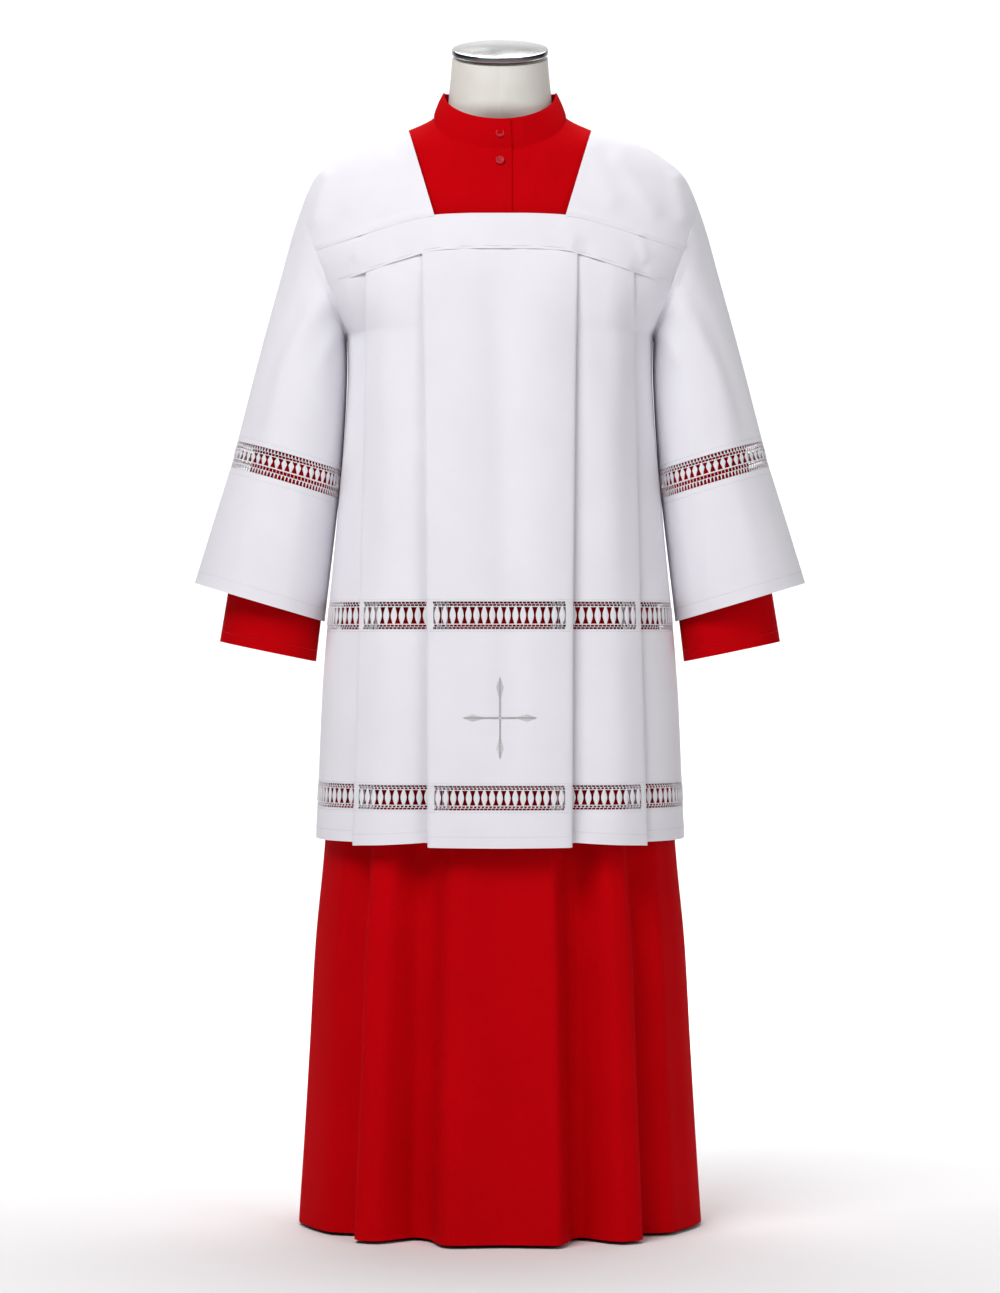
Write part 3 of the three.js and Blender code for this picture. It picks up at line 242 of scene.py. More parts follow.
class Body:
    """A garment's trunk: superelliptic levels that pass through the ring of each armhole."""

    def __init__(self, spec):
        self.side = curve(spec["side"], "z", "half")
        self.ridge = curve(spec["ridge"], "z", "half")
        self.deep = curve(spec["depth"], "z", "half")
        self.top, self.bottom, self.arm_deep = (spec["armhole"][name] for name in ("top", "bottom", "deep"))
        heights = np.linspace(self.top[1], spec["ridge"]["z"][-1], 2000)
        self._ridge_x, self._ridge_z = np.maximum.accumulate(self.ridge(heights)[::-1]), heights[::-1]

    def arm(self, z):
        """x and the depth of the armhole ring at height z."""
        mid_x, mid_z = (self.top[0] + self.bottom[0]) / 2, (self.top[1] + self.bottom[1]) / 2
        c = np.clip((z - mid_z) / (self.top[1] - mid_z), -1, 1)
        return mid_x + (self.top[0] - mid_x) * c, self.arm_deep * np.sqrt(1 - c * c)

    def half(self, z):
        """Half width of the level at height z."""
        x, y = self.arm(z)
        through = x / np.maximum(1 - (y / self.deep(z)) ** BULGE, 1e-3) ** (1 / BULGE)
        return np.where(z <= self.bottom[1], self.side(z), np.where(z >= self.top[1], self.ridge(z), through))

    def reach(self, x, z):
        """Depth of the trunk at x on the level at height z."""
        left = np.maximum(1 - (np.abs(x) / self.half(z)) ** BULGE, 0)
        return self.deep(z) * left ** (1 / BULGE)

    def normal(self, p):
        """Ways out of the trunk at points p on it."""
        def shape(x, y, z):
            return (np.abs(x) / self.half(z)) ** BULGE + (np.abs(y - lean(z)) / self.deep(z)) ** BULGE

        x, y, z = p[..., 0], p[..., 1], p[..., 2]
        h = 0.4
        n = np.stack([shape(x + h, y, z) - shape(x - h, y, z), shape(x, y + h, z) - shape(x, y - h, z),
                      shape(x, y, z + h) - shape(x, y, z - h)], -1)
        return n / np.maximum(np.linalg.norm(n, axis=-1, keepdims=True), 1e-9)

    def ridge_height(self, x):
        """Height of the shoulder's ridge at x."""
        return np.interp(np.abs(x), self._ridge_x, self._ridge_z)

    def turn(self, x, z):
        """Turn from the front centre at which a level is at x."""
        return np.arcsin(np.clip(np.abs(x) / self.half(z), 0, 1) ** (BULGE / 2))

    def level(self, turn, z):
        """Point of a level by its turn from the front centre, and the way out there."""
        a, b = self.half(z), self.deep(z)
        sin, cos = np.sin(turn), np.cos(turn)
        x = a * np.sign(sin) * np.abs(sin) ** (2 / BULGE)
        y = -b * np.sign(cos) * np.abs(cos) ** (2 / BULGE)
        nx = np.sign(x) * np.abs(x / a) ** (BULGE - 1) / a
        ny = np.sign(y) * np.abs(y / b) ** (BULGE - 1) / b
        size = np.hypot(nx, ny)
        return x, y + lean(z), nx / size, ny / size

    def at(self, x, z, face):
        """Points of the front (-1) or the back (1) at x and z."""
        z = z + 0 * x
        return np.stack([x + 0 * z, lean(z) + face * self.reach(x, z), z], -1)


surplice, cassock = Body(SURPLICE), Body(CASSOCK)

# ---------------------------------------------------------------- cloth meshes


def outward(P, closed):
    """Unit normals of a grid whose rows run down and whose columns run right, seen from outside."""
    if closed:
        across = np.roll(P, -1, 1) - np.roll(P, 1, 1)
    else:
        across = np.gradient(P, axis=1)
    n = np.cross(np.gradient(P, axis=0), across)
    return n / np.maximum(np.linalg.norm(n, axis=-1, keepdims=True), 1e-9)


def lengths(P, axis, closed=False):
    """Running length along an axis of a grid, averaged over the other one."""
    if closed:
        P = np.concatenate([P, P[:, :1]], 1)
    step = np.linalg.norm(np.diff(P, axis=axis), axis=-1).mean(axis=1 - axis)
    return np.concatenate([[0], np.cumsum(step)])


def sheet_mesh(name, P, thick, finish, closed=False, keep=None, out=0.0):
    """A closed thin wall over a grid of points. out is the share of its thickness that lies outside them, and
    keep says which cells are cloth."""
    rows, cols = P.shape[:2]
    N = outward(P, closed)
    outer, inner = P + N * thick * out, P - N * thick * (1 - out)
    cells = cols if closed else cols - 1
    if keep is None:
        keep = np.ones((rows - 1, cells), bool)
    r, c = np.nonzero(keep)
    c2 = (c + 1) % cols
    quads = np.stack([r * cols + c, (r + 1) * cols + c, (r + 1) * cols + c2, r * cols + c2], 1)
    spots = np.stack([np.stack(spot, 1) for spot in ((c, r), (c, r + 1), (c + 1, r + 1), (c + 1, r))], 1)
    count = rows * cols
    start, end = quads, np.roll(quads, -1, 1)
    key, back = start * count + end, end * count + start
    rim = ~np.isin(key, back)
    a, b = start[rim], end[rim]
    spot_a, spot_b = spots[rim], np.roll(spots, -1, 1)[rim]
    faces = np.concatenate([quads, quads[:, ::-1] + count, np.stack([b, a, a + count, b + count], 1)])
    corner = np.concatenate([spots, spots[:, ::-1], np.stack([spot_b, spot_a, spot_a, spot_b], 1)])
    run, fall = lengths(P, 1, closed), lengths(P, 0)
    uv = np.stack([run[corner[..., 0]], fall[-1] - fall[corner[..., 1]]], -1) * MM
    used, faces = np.unique(faces, return_inverse=True)
    verts = np.concatenate([outer.reshape(-1, 3), inner.reshape(-1, 3)])[used] * MM
    return mesh_object(name, verts, faces.reshape(-1, 4), finish, uv)


def mesh_object(name, verts, faces, finish, uv=None, sharp=50):
    """A smooth-shaded object from arrays of points and of faces that all have the same number of corners."""
    mesh = bpy.data.meshes.new(name)
    count, sides = faces.shape
    mesh.vertices.add(len(verts))
    mesh.vertices.foreach_set("co", np.ascontiguousarray(verts, np.float32).ravel())
    mesh.loops.add(count * sides)
    mesh.loops.foreach_set("vertex_index", np.ascontiguousarray(faces, np.int32).ravel())
    mesh.polygons.add(count)
    mesh.polygons.foreach_set("loop_start", np.arange(0, count * sides, sides, dtype=np.int32))
    mesh.polygons.foreach_set("use_smooth", np.ones(count, bool))
    if uv is not None:
        mesh.uv_layers.new(name="cloth").data.foreach_set("uv", np.ascontiguousarray(uv, np.float32).ravel())
    mesh.update(calc_edges=True)
    mesh.set_sharp_from_angle(angle=math.radians(sharp))
    mesh.validate()
    mesh.materials.append(finish)
    obj = bpy.data.objects.new(name, mesh)
    bpy.context.scene.collection.objects.link(obj)
    return obj


def turned(name, rings, finish):
    """A closed solid over rings that run upwards, each counter-clockwise seen from above."""
    rings = np.asarray(rings, float)
    count, around = rings.shape[:2]
    verts = np.concatenate([rings.reshape(-1, 3), [rings[0].mean(0), rings[-1].mean(0)]])
    i, j = [k.ravel() for k in np.meshgrid(np.arange(count - 1), np.arange(around), indexing="ij")]
    after = (j + 1) % around
    side = np.stack([i * around + j, i * around + after, (i + 1) * around + after, (i + 1) * around + j], 1)
    k, top = np.arange(0, around, 2), (count - 1) * around
    low = np.stack([np.full_like(k, count * around), (k + 2) % around, k + 1, k], 1)
    high = np.stack([np.full_like(k, count * around + 1), top + k, top + k + 1, top + (k + 2) % around], 1)
    run, rise = lengths(rings, 1, True), lengths(rings, 0)
    wrapped = np.stack([np.stack([run[j], rise[i]], 1), np.stack([run[j + 1], rise[i]], 1),
                        np.stack([run[j + 1], rise[i + 1]], 1), np.stack([run[j], rise[i + 1]], 1)], 1)
    faces = np.concatenate([side, low, high])
    uv = np.concatenate([wrapped, verts[np.concatenate([low, high])][..., :2]]) * MM
    return mesh_object(name, verts * MM, faces, finish, uv, sharp=40)


def circle(radius, height, around):
    turn = np.linspace(0, 2 * math.pi, around + 1)[:-1]
    return np.stack([radius * np.cos(turn), radius * np.sin(turn), height + 0 * turn], 1)


def wear(obj, nodes, cut=None):
    """Ties a piece to the frame: its body, and the solids it stands for, which it hides. Its cut, for cloth,
    is not used.
    """
    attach(obj, "root")
    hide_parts(*nodes)
    if cut:
        width, length, area = cut


def bumps(x, z, creases):
    """Height of listed creases at points x, z. Each row runs from (x0, z0) to (x1, z1)."""
    total = np.zeros(np.broadcast(x, z).shape)
    for x0, z0, x1, z1, wide, high in creases:
        dx, dz = x1 - x0, z1 - z0
        size = math.hypot(dx, dz)
        along = ((x - x0) * dx + (z - z0) * dz) / size / size
        beside = ((x - x0) * dz - (z - z0) * dx) / size
        end = smooth(along / 0.25 + 0.5) * smooth((1 - along) / 0.25 + 0.5)
        total = total + high * np.exp(-((beside / wide) ** 2)) * end
    return total


# ---------------------------------------------------------------- materials


def linear(code):
    """An sRGB hex colour as linear RGBA."""
    parts = [int(code[i:i + 2], 16) / 255 for i in (1, 3, 5)]
    return tuple(c / 12.92 if c <= 0.04045 else ((c + 0.055) / 1.055) ** 2.4 for c in parts) + (1.0,)


def node(tree, kind, settings=None, **links):
    """Adds a node. Settings name its properties or sockets, links name the socket that each output feeds."""
    made = tree.nodes.new(kind)
    for name, value in (settings or {}).items():
        if hasattr(made, name):
            setattr(made, name, value)
        else:
            made.inputs[name].default_value = value
    for name, source in links.items():
        socket = made.inputs[int(name[1:])] if name[0] == "_" else made.inputs[name.replace("_", " ")]
        tree.links.new(source, socket)
    return made


def new_material(name, base, **settings):
    """A material with its shader. Keywords name the shader's sockets, with underscores for spaces."""
    made = bpy.data.materials.new(name)
    made.use_nodes = True
    tree = made.node_tree
    shader = tree.nodes["Principled BSDF"]
    shader.inputs["Base Color"].default_value = base
    for key, value in settings.items():
        shader.inputs[key.replace("_", " ")].default_value = value
    return made, tree, shader


WAVE_LENGTH = 0.31416  # length of a wave texture's band at scale 1, in metres


def woven(name, colour, shade, thread, slant, relief, **settings):
    """Cloth: warp and weft waves at the real thread spacing, drawn coarser where it wouldn't show, with slow
    changes of tone and small soft creases. thread and relief are in metres, slant in degrees."""
    cloth, tree, shader = new_material(name, linear(colour), **settings)
    place = node(tree, "ShaderNodeUVMap", {"uv_map": "cloth"}).outputs[0]
    rotation = (0, 0, math.radians(slant))
    slanted = node(tree, "ShaderNodeMapping", {"Rotation": rotation}, Vector=place).outputs[0]
    scale = WAVE_LENGTH / thread
    warp = node(tree, "ShaderNodeTexWave", {"bands_direction": "X", "Scale": scale}, Vector=slanted)
    weft = node(tree, "ShaderNodeTexWave", {"bands_direction": "Y", "Scale": scale}, Vector=slanted)
    # thick threads about 2 mm apart, soft creases about 70 mm apart, changes of tone about 110 mm apart
    slub = node(tree, "ShaderNodeTexNoise", {"Scale": 420.0, "Detail": 3.0}, Vector=place)
    crumple = node(tree, "ShaderNodeTexNoise", {"Scale": 14.0, "Detail": 2.0, "Roughness": 0.45},
                   Vector=place)
    tone = node(tree, "ShaderNodeTexNoise", {"Scale": 9.0, "Detail": 4.0}, Vector=place)
    dye = node(tree, "ShaderNodeMix", {"data_type": "RGBA"}, _0=tone.outputs["Fac"])
    dye.inputs[6].default_value, dye.inputs[7].default_value = linear(shade), linear(colour)
    tree.links.new(dye.outputs[2], shader.inputs["Base Color"])
    threads = node(tree, "ShaderNodeMath", {"operation": "MULTIPLY"},
                   _0=warp.outputs["Fac"], _1=weft.outputs["Fac"])
    fine = node(tree, "ShaderNodeMath", {"operation": "ADD"}, _0=threads.outputs[0], _1=slub.outputs["Fac"])
    first = node(tree, "ShaderNodeBump", {"Strength": 0.35, "Distance": relief}, Height=fine.outputs[0])
    soft = node(tree, "ShaderNodeBump", {"Strength": 0.5, "Distance": 0.0035}, Height=crumple.outputs["Fac"],
                Normal=first.outputs[0])
    tree.links.new(soft.outputs[0], shader.inputs["Normal"])
    return cloth


MATERIALS = {}


def make_materials(colours):
    # polyester-cotton broadcloth, woven and pressed: matt, cool white, threads too fine to see singly
    MATERIALS["white_cloth"] = woven(
        "white_polycotton_broadcloth", colours.white, "#E8E6EC", 0.0009, 0, 0.00012,
        Roughness=0.86, Sheen_Weight=0.05, Sheen_Roughness=0.5, Specular_IOR_Level=0.2)
    # cotton insertion lace, corded: whiter and rougher than the cloth, with thick threads
    MATERIALS["lace"] = woven(
        "cotton_insertion_lace", colours.lace, "#DCDAE0", 0.0011, 45, 0.0003,
        Roughness=0.9, Sheen_Weight=0.05, Specular_IOR_Level=0.15)
    # polyester-cotton twill, piece-dyed and pressed: bright red with a slight sheen and a slanting rib
    MATERIALS["red_cloth"] = woven(
        "red_polycotton_twill", colours.red, "#B60008", 0.0012, 63, 0.00012,
        Roughness=0.82, Specular_IOR_Level=0.03)
    # polyester sewing thread, twisted
    MATERIALS["white_thread"] = woven(
        "white_sewing_thread", "#E4E2E8", "#D2D0D8", 0.0006, 30, 0.0001, Roughness=0.6)
    MATERIALS["red_thread"] = woven(
        "red_sewing_thread", "#BC0009", "#A80007", 0.0006, 30, 0.0001, Roughness=0.55)
    # rayon embroidery thread, satin stitch: silver-grey with a silky gloss across the stitches
    MATERIALS["silver_thread"] = woven(
        "silver_rayon_satin_stitch", "#EEEDEF", "#CFCED2", 0.0011, 0, 0.0004,
        Roughness=0.38, Sheen_Weight=0.2, Specular_IOR_Level=0.6)
    # painted shade: the same thread in a darker grey, one strand down the middle of each arm, where the gap
    # between the two rows of satin stitches lies in shadow
    MATERIALS["vein_shade_thread"] = woven(
        "grey_thread_painted_shade", "#9D9CA0", "#88878B", 0.0011, 0, 0.0003, Roughness=0.45)
    # stretch jersey cover over a padded form: smooth ivory
    MATERIALS["form_cover"] = woven(
        "ivory_stretch_jersey", colours.ivory, "#D9D6CD", 0.0011, 0, 0.00008,
        Roughness=0.55, Specular_IOR_Level=0.4)

    # chrome-plated steel, spun: mirror-like, with its gloss varying faintly over the disc
    steel, tree, shader = new_material("chrome_plated_steel", linear("#E3E2E1"), Metallic=1.0, Roughness=0.16)
    place = node(tree, "ShaderNodeTexCoord").outputs["Generated"]
    rings = node(tree, "ShaderNodeTexNoise", {"Scale": 3.0, "Detail": 6.0}, Vector=place)
    gloss = node(tree, "ShaderNodeMapRange", {"To Min": 0.12, "To Max": 0.3}, Value=rings.outputs["Fac"])
    tree.links.new(gloss.outputs[0], shader.inputs["Roughness"])
    MATERIALS["cap"] = steel
    # the same chrome plating on the cap's edge, made darker: painted dark reflection of the room's shadows, a
    # thin dark rim that mirrors the lights as a pale streak
    rim, tree, shader = new_material(
        "chrome_edge_painted_dark_reflection", linear("#6C6B6E"), Metallic=1.0, Roughness=0.14)
    worn = node(tree, "ShaderNodeTexNoise", {"Scale": 6.0, "Detail": 3.0},
                Vector=node(tree, "ShaderNodeTexCoord").outputs["Generated"])
    gloss = node(tree, "ShaderNodeMapRange", {"To Min": 0.1, "To Max": 0.22}, Value=worn.outputs["Fac"])
    tree.links.new(gloss.outputs[0], shader.inputs["Roughness"])
    MATERIALS["cap_edge"] = rim
    # satin-finished steel tube and plate, dark: fine brushing
    satin, tree, shader = new_material("satin_dark_steel", linear("#5A5B60"), Metallic=1.0, Roughness=0.4)
    place = node(tree, "ShaderNodeTexCoord").outputs["Object"]
    brushed = node(tree, "ShaderNodeMapping", {"Scale": (400, 400, 4)}, Vector=place).outputs[0]
    grain = node(tree, "ShaderNodeTexNoise", {"Scale": 1.0, "Detail": 3.0}, Vector=brushed)
    gloss = node(tree, "ShaderNodeMapRange", {"To Min": 0.32, "To Max": 0.5}, Value=grain.outputs["Fac"])
    tree.links.new(gloss.outputs[0], shader.inputs["Roughness"])
    MATERIALS["stand"] = satin
    # cast polyester resin button, dyed red, with a faint swirl in its tone
    button, tree, shader = new_material("red_polyester_button", linear("#C8141C"), Roughness=0.5, IOR=1.5)
    place = node(tree, "ShaderNodeTexCoord").outputs["Object"]
    swirl = node(tree, "ShaderNodeTexNoise", {"Scale": 260.0, "Detail": 3.0}, Vector=place)
    tint = node(tree, "ShaderNodeMix", {"data_type": "RGBA"}, _0=swirl.outputs["Fac"])
    tint.inputs[6].default_value, tint.inputs[7].default_value = linear("#A80A12"), linear("#C4161E")
    tree.links.new(tint.outputs[2], shader.inputs["Base Color"])
    MATERIALS["button"] = button


def material(name, context):
    if not MATERIALS:
        make_materials(context.scene.robe_colours)
    return MATERIALS[name]


# ---------------------------------------------------------------- surplice forms


def fall_at(share):
    """Share of a yoke seam's fall, by share of the way out."""
    return np.interp(np.abs(share), SEAM_FALL["share"], SEAM_FALL["fall"])


def smooth_fall(share):
    """The seam's fall with its corners eased."""
    near = [fall_at(np.abs(share) + d) for d in (-0.05, -0.025, 0, 0.025, 0.05)]
    return np.where(np.abs(share) > 0.95, fall_at(share), sum(near) / len(near))


def yoke_seam(side, below):
    """Half width of a seam that lies below the upper one, and its height by share of the way out."""
    centre, drop = YOKE[side] - below, YOKE["drop_" + side]
    return surplice.arm(centre - drop)[0], lambda share: centre - drop * smooth_fall(share)


def fold_stations(z):
    """Turn and depth behind the outer face at each station from the centre to the side, at heights z."""
    p = {name: curve(PLEATS, "z", name)(z) for name in PLEATS if name != "z"}
    zero = 0 * z

    def fold(edge, under, pitch):
        inner = edge - under
        return [(edge, zero), (edge, pitch), (inner, pitch), (inner, 2 * pitch), (edge + 2, 2 * pitch)]

    e1, e2, p1, p2 = p["edge1"], p["edge2"], p["pitch1"], p["pitch2"]
    rows = [(zero, zero), (0.5 * e1, zero)] + fold(e1, p["under1"], p1)
    rows += [(mix(e1, e2, 0.27), p1), (mix(e1, e2, 0.6), zero)]
    rows += fold(e2, p["under2"], p2) + [(e2 + 10, 1.1 * p2)]
    end = np.where(z > surplice.bottom[1], surplice.turn(surplice.arm(z)[0], z), math.pi / 2)
    turns = [surplice.turn(x, z) for x, _ in rows]
    edge = surplice.turn(e2, z)
    turns += [mix(edge, end, 0.5), end]
    deeps = [d for _, d in rows] + [0.2 * p2, zero]
    return np.array(turns), np.array(deeps)


STATIONS = 16  # number of the last station, at the side
# Stations between which a ladder shows, and between which it lies folded under.
FLAT_ZONES = ((0, 2), (5.4, 9), (12.4, STATIONS))
HIDDEN_ZONES = ((3.05, 3.96), (4.44, 5.35), (10.05, 10.96), (11.44, 12.35))


def dense_stations():
    """Stations for the fine cloth: close together round each fold edge."""
    flat = {0: 9, 1: 9, 6: 5, 7: 5, 8: 8, 13: 3, 14: 8, 15: 12}
    q = []
    for i in range(STATIONS):
        if i in (2, 4, 9, 11):
            steps = np.linspace(0, 1, 6)[:-1]
        elif i in flat:
            steps = np.linspace(0, 1, flat[i] + 1)[:-1]
        else:
            steps = np.array([0, 0.04, 0.08, 0.16, 0.35, 0.65, 0.84, 0.92, 0.96])
        q += list(i + steps)
    q = np.array(q + [STATIONS])
    return np.concatenate([-q[:0:-1], q])


DENSE = dense_stations()
# Creases of the pleated cloth, in front (-1) and at the back (1).
SKIRT_CREASES = {
    # x0, z0, x1, z1, width, height
    -1: [(-52, 1080, -56, 690, 26, 3.2), (-4, 1075, 14, 540, 11, -6.5), (48, 1060, 46, 640, 24, 2.8),
         (-58, 690, -50, 430, 24, 2.6), (40, 640, 44, 430, 26, 2.0), (-112, 1030, -118, 720, 15, 3.0),
         (114, 1040, 122, 720, 16, 3.0), (-176, 940, -186, 640, 16, 1.0), (178, 950, 186, 660, 16, 1.0),
         (-122, 680, -126, 430, 17, 2.6), (122, 670, 128, 430, 17, 2.2), (-180, 640, -192, 430, 14, 2.0),
         (184, 620, 194, 430, 14, 2.0), (-100, 1095, -115, 925, 7, -2.0), (-88, 1090, -94, 900, 7, 1.5),
         (102, 1095, 116, 935, 7, -1.9), (91, 1090, 97, 880, 7, 1.4), (-126, 1080, -131, 900, 8, 1.5),
         (129, 1085, 133, 910, 8, 1.4)],
    1: [(-40, 1100, -46, 700, 26, 3.2), (6, 1080, -6, 640, 18, -3.0), (52, 1090, 50, 690, 24, 2.8),
        (-116, 1040, -124, 700, 17, 2.8), (112, 1050, 122, 690, 17, 2.9), (-10, 660, -16, 430, 30, 2.2),
        (54, 650, 60, 430, 20, -1.8), (-178, 930, -188, 620, 16, 1.0), (180, 900, 190, 600, 16, 1.0),
        (-120, 660, -126, 430, 16, 2.2), (122, 640, 126, 430, 16, 2.0)],
}


def seam_height(side):
    """Height of the yoke's lower seam by x."""
    half, height = yoke_seam(side, YOKE["band"])
    return lambda x: height(np.clip(x / half, 0, 1))


SEAM_HEIGHT = {-1: seam_height("front"), 1: seam_height("back")}


def skirt_recess(x, side):
    """How far the pleated cloth lies behind the yoke's lower edge at x, evened out sideways."""
    z = YOKE[side] - YOKE["band"] - 0.5 * YOKE["drop_" + side]
    p1, p2, e1, e2 = (curve(PLEATS, "z", name)(z) for name in ("pitch1", "pitch2", "edge1", "edge2"))
    spots = [0, e1, e1 + 2, mix(e1, e2, 0.27), mix(e1, e2, 0.6), e2, e2 + 2, e2 + 10, 300]
    deeps = [0, 0, 2 * p1, p1, 0, 0, 2 * p2, 1.1 * p2, 0]
    return 0.55 * sum(np.interp(np.abs(x) + d, spots, deeps) for d in (-6, -2, 2, 6)) / 4


HEM_RISE = {"station": [0, 2, 5, 6.2, 9, 12, 13.4, 16], "rise": [0, 0.5, 4, 5.2, 0.8, 2.5, 4.2, 5]}


def hem_height(q):
    """The surplice's hem: it rises beside the middle pleats and again at the sides."""
    return SURPLICE_HEM + np.interp(np.abs(q), HEM_RISE["station"], HEM_RISE["rise"])


def skirt_row(q, z, face):
    """Middle of the pleated cloth at stations q (negative towards the wearer's right) and heights z."""
    z = z + 0.0 * q
    turns, deeps = fold_stations(z)
    i = np.minimum(np.floor(np.abs(q)).astype(int), STATIONS - 1)
    f = np.abs(q) - i
    pick = np.arange(len(q))
    turn = mix(turns[i, pick], turns[i + 1, pick], f)
    deep = mix(deeps[i, pick], deeps[i + 1, pick], f) + HALF_CLOTH
    x, y, nx, ny = surplice.level(turn, z)
    x, nx = np.sign(q) * x, np.sign(q) * nx
    deep = deep - bumps(-face * x, z, SKIRT_CREASES[face]) * smooth((1110 - z) / 60)
    seam = SEAM_HEIGHT[face](np.abs(x))
    # towards the yoke the layers lie closer, and at its seam the cloth goes in under the band
    closer = 1 - 0.45 * smooth((z - seam + 90) / 85)
    deep = HALF_CLOTH + (deep - HALF_CLOTH) * closer + 0.9 * smooth((z - seam + 24) / 22)
    p = np.stack([x - nx * deep, y - ny * deep], 1)
    for _ in range(5):  # rounds the fold edges
        p[1:-1] = 0.25 * p[:-2] + 0.5 * p[1:-1] + 0.25 * p[2:]
    return np.stack([-face * p[:, 0], -face * p[:, 1], z], 1)


def front_depth(x, z):
    """y of the middle front panel at points x, z."""
    q = DENSE[np.abs(DENSE) <= 2]
    heights = np.linspace(z.min() - 5, z.max() + 5, 24)
    lines = [skirt_row(q, h, -1) for h in heights]
    depth = np.array([np.interp(x, line[:, 0], line[:, 1]) for line in lines])
    at = np.clip((z - heights[0]) / (heights[1] - heights[0]), 0, len(heights) - 1.001)
    row, i = at.astype(int), np.arange(len(x))
    return mix(depth[row, i], depth[row + 1, i], at - row)


def skirt_top(side):
    """Height of the pleated cloth's upper edge at each of its stations."""
    half, height = yoke_seam(side, YOKE["band"])
    x = np.abs(skirt_row(DENSE, height(0.7), -1)[:, 0])
    share = np.clip(x / half, 0, 1)
    share[[0, -1]] = 1
    return height(share)


# ---------------------------------------------------------------- ladder lace

# The net border: mm down it, threads and holes by turns, and mm that each hole is widened at a side. It has
# two holes to a repeat of the ladder, where the real one has about three that would be too fine to show.
NET_ROWS = [0, 0.4, 2.65, 3.0, 5.25, 5.7]
NET_SPREAD = 0.45
LACE_HEIGHT, BORDER, LADDER_PITCH = 30.6, 6.2, 8.15
BAR = (1.1, 3.1)  # half width of a bar at its ends and its middle
BAR_ROUND = (0, 0.45, 0.6, 0.45, 0)  # how far a bar stands out across its width
STRIP = 6.5  # plain cloth beside a pleat's edge
HIDDEN_BAR = 0.16  # share of a bar's width in the ladders that lie folded under


def lace_rows(height):
    """Distances down a band, with the kind of each strip between them: thread, net or ladder."""
    k = height / LACE_HEIGHT
    net = [v * k for v in NET_ROWS]
    top, bottom = BORDER * k, height - BORDER * k
    ladder = list(mix(top, bottom, np.array([0, 0.05, 0.14, 0.26, 0.38, 0.5, 0.62, 0.74, 0.86, 0.95, 1])))
    rows = net + ladder + [height - v for v in reversed(net)]
    kinds = ["thread", "net", "thread", "net", "thread", "thread"] + ["ladder"] * (len(ladder) - 1)
    kinds += ["thread", "thread", "net", "thread", "net", "thread"]
    return np.array(rows), kinds, (top, bottom)


def lace_columns(zones, pitch, plain):
    """Columns of a band as lengths along it. Each repeat of the ladder has six cells. A zone is where a
    ladder starts and ends, and how wide its bars are."""
    columns = [(length, -1, pitch, 1) for length in plain]
    for start, end, full in zones:
        count = int((end - start) / pitch + 1e-6)
        step = (end - start) / count if count else 0
        columns = [c for c in columns if not start - 0.6 < c[0] < end + 0.6]
        for k in range(count):
            columns += [(start + (k + b / 6) * step, b, step, full) for b in range(6)]
        columns.append((start + count * step, -1, step, full))
    columns.sort(key=lambda c: c[0])
    return columns


def lace_grid(columns, height, place, closed=False):
    """Points and kept cells of a band. place(length, down, raised) gives points on the cloth's middle, raised
    outwards."""
    rows, kinds, (top, bottom) = lace_rows(height)
    base = np.array([c[0] for c in columns])
    index = np.array([c[1] for c in columns])
    step, full = np.array([c[2] for c in columns]), np.array([c[3] for c in columns])
    P = []
    for v in rows:
        t = np.clip((v - top) / (bottom - top), 0, 1)
        in_ladder = top - 1e-6 <= v <= bottom + 1e-6
        edge = min(v, height - v)
        bar = mix(BAR[0], BAR[1], math.sin(math.pi * t) ** 1.3)
        slots = {1: -bar, 2: -bar / 2, 3: 0, 4: bar / 2, 5: bar}
        shift = np.zeros(len(base))
        raised = np.zeros(len(base))
        if in_ladder:
            for b, offset in slots.items():
                hit = index == b
                shift[hit] = (0.5 - b / 6) * step[hit] + offset * full[hit] * step[hit] / LADDER_PITCH
                raised[hit] = BAR_ROUND[b - 1]
        else:
            left = 2 if edge < 2.8 else 0
            shift = NET_SPREAD * (1.0 * (index % 3 == left) - (index % 3 == (left + 1) % 3)) * (index >= 0)
        P.append(place(base + shift, v, raised))
    keep = np.ones((len(rows) - 1, len(base)), bool)
    for r, kind in enumerate(kinds):
        if kind == "net":
            outer_row = min(r, len(kinds) - 1 - r) < 3
            keep[r] &= ~((index >= 0) & (index % 3 != (2 if outer_row else 0)))
        elif kind == "ladder":
            keep[r] &= ~((index == 0) | (index == 5))
    return np.array(P), keep if closed else keep[:, :-1]


# ---------------------------------------------------------------- sleeves


def ring_reader(table):
    """A function that gives points of a sleeve from its table."""
    names = [name for name in table if name != "s"]
    read = {name: curve(table, "s", name) for name in names}

    def ring(s, turn):
        """Points of a sleeve at s, where turn 0 is the outer edge and a quarter turn is the front."""
        s = s + 0 * turn
        ox, oz, ix, iz, deep = (read[name](s) for name in names)
        cx, cz, hx, hz = (ox + ix) / 2, (oz + iz) / 2, (ox - ix) / 2, (oz - iz) / 2
        return np.stack([cx + hx * np.cos(turn), -deep * np.sin(turn), cz + hz * np.cos(turn)], -1)

    return ring


surplice_ring, cassock_ring = ring_reader(SURPLICE_SLEEVE), ring_reader(CASSOCK_SLEEVE)
DEGREES_PER_STATION = 40  # of turn, which a sleeve crease counts as one station along


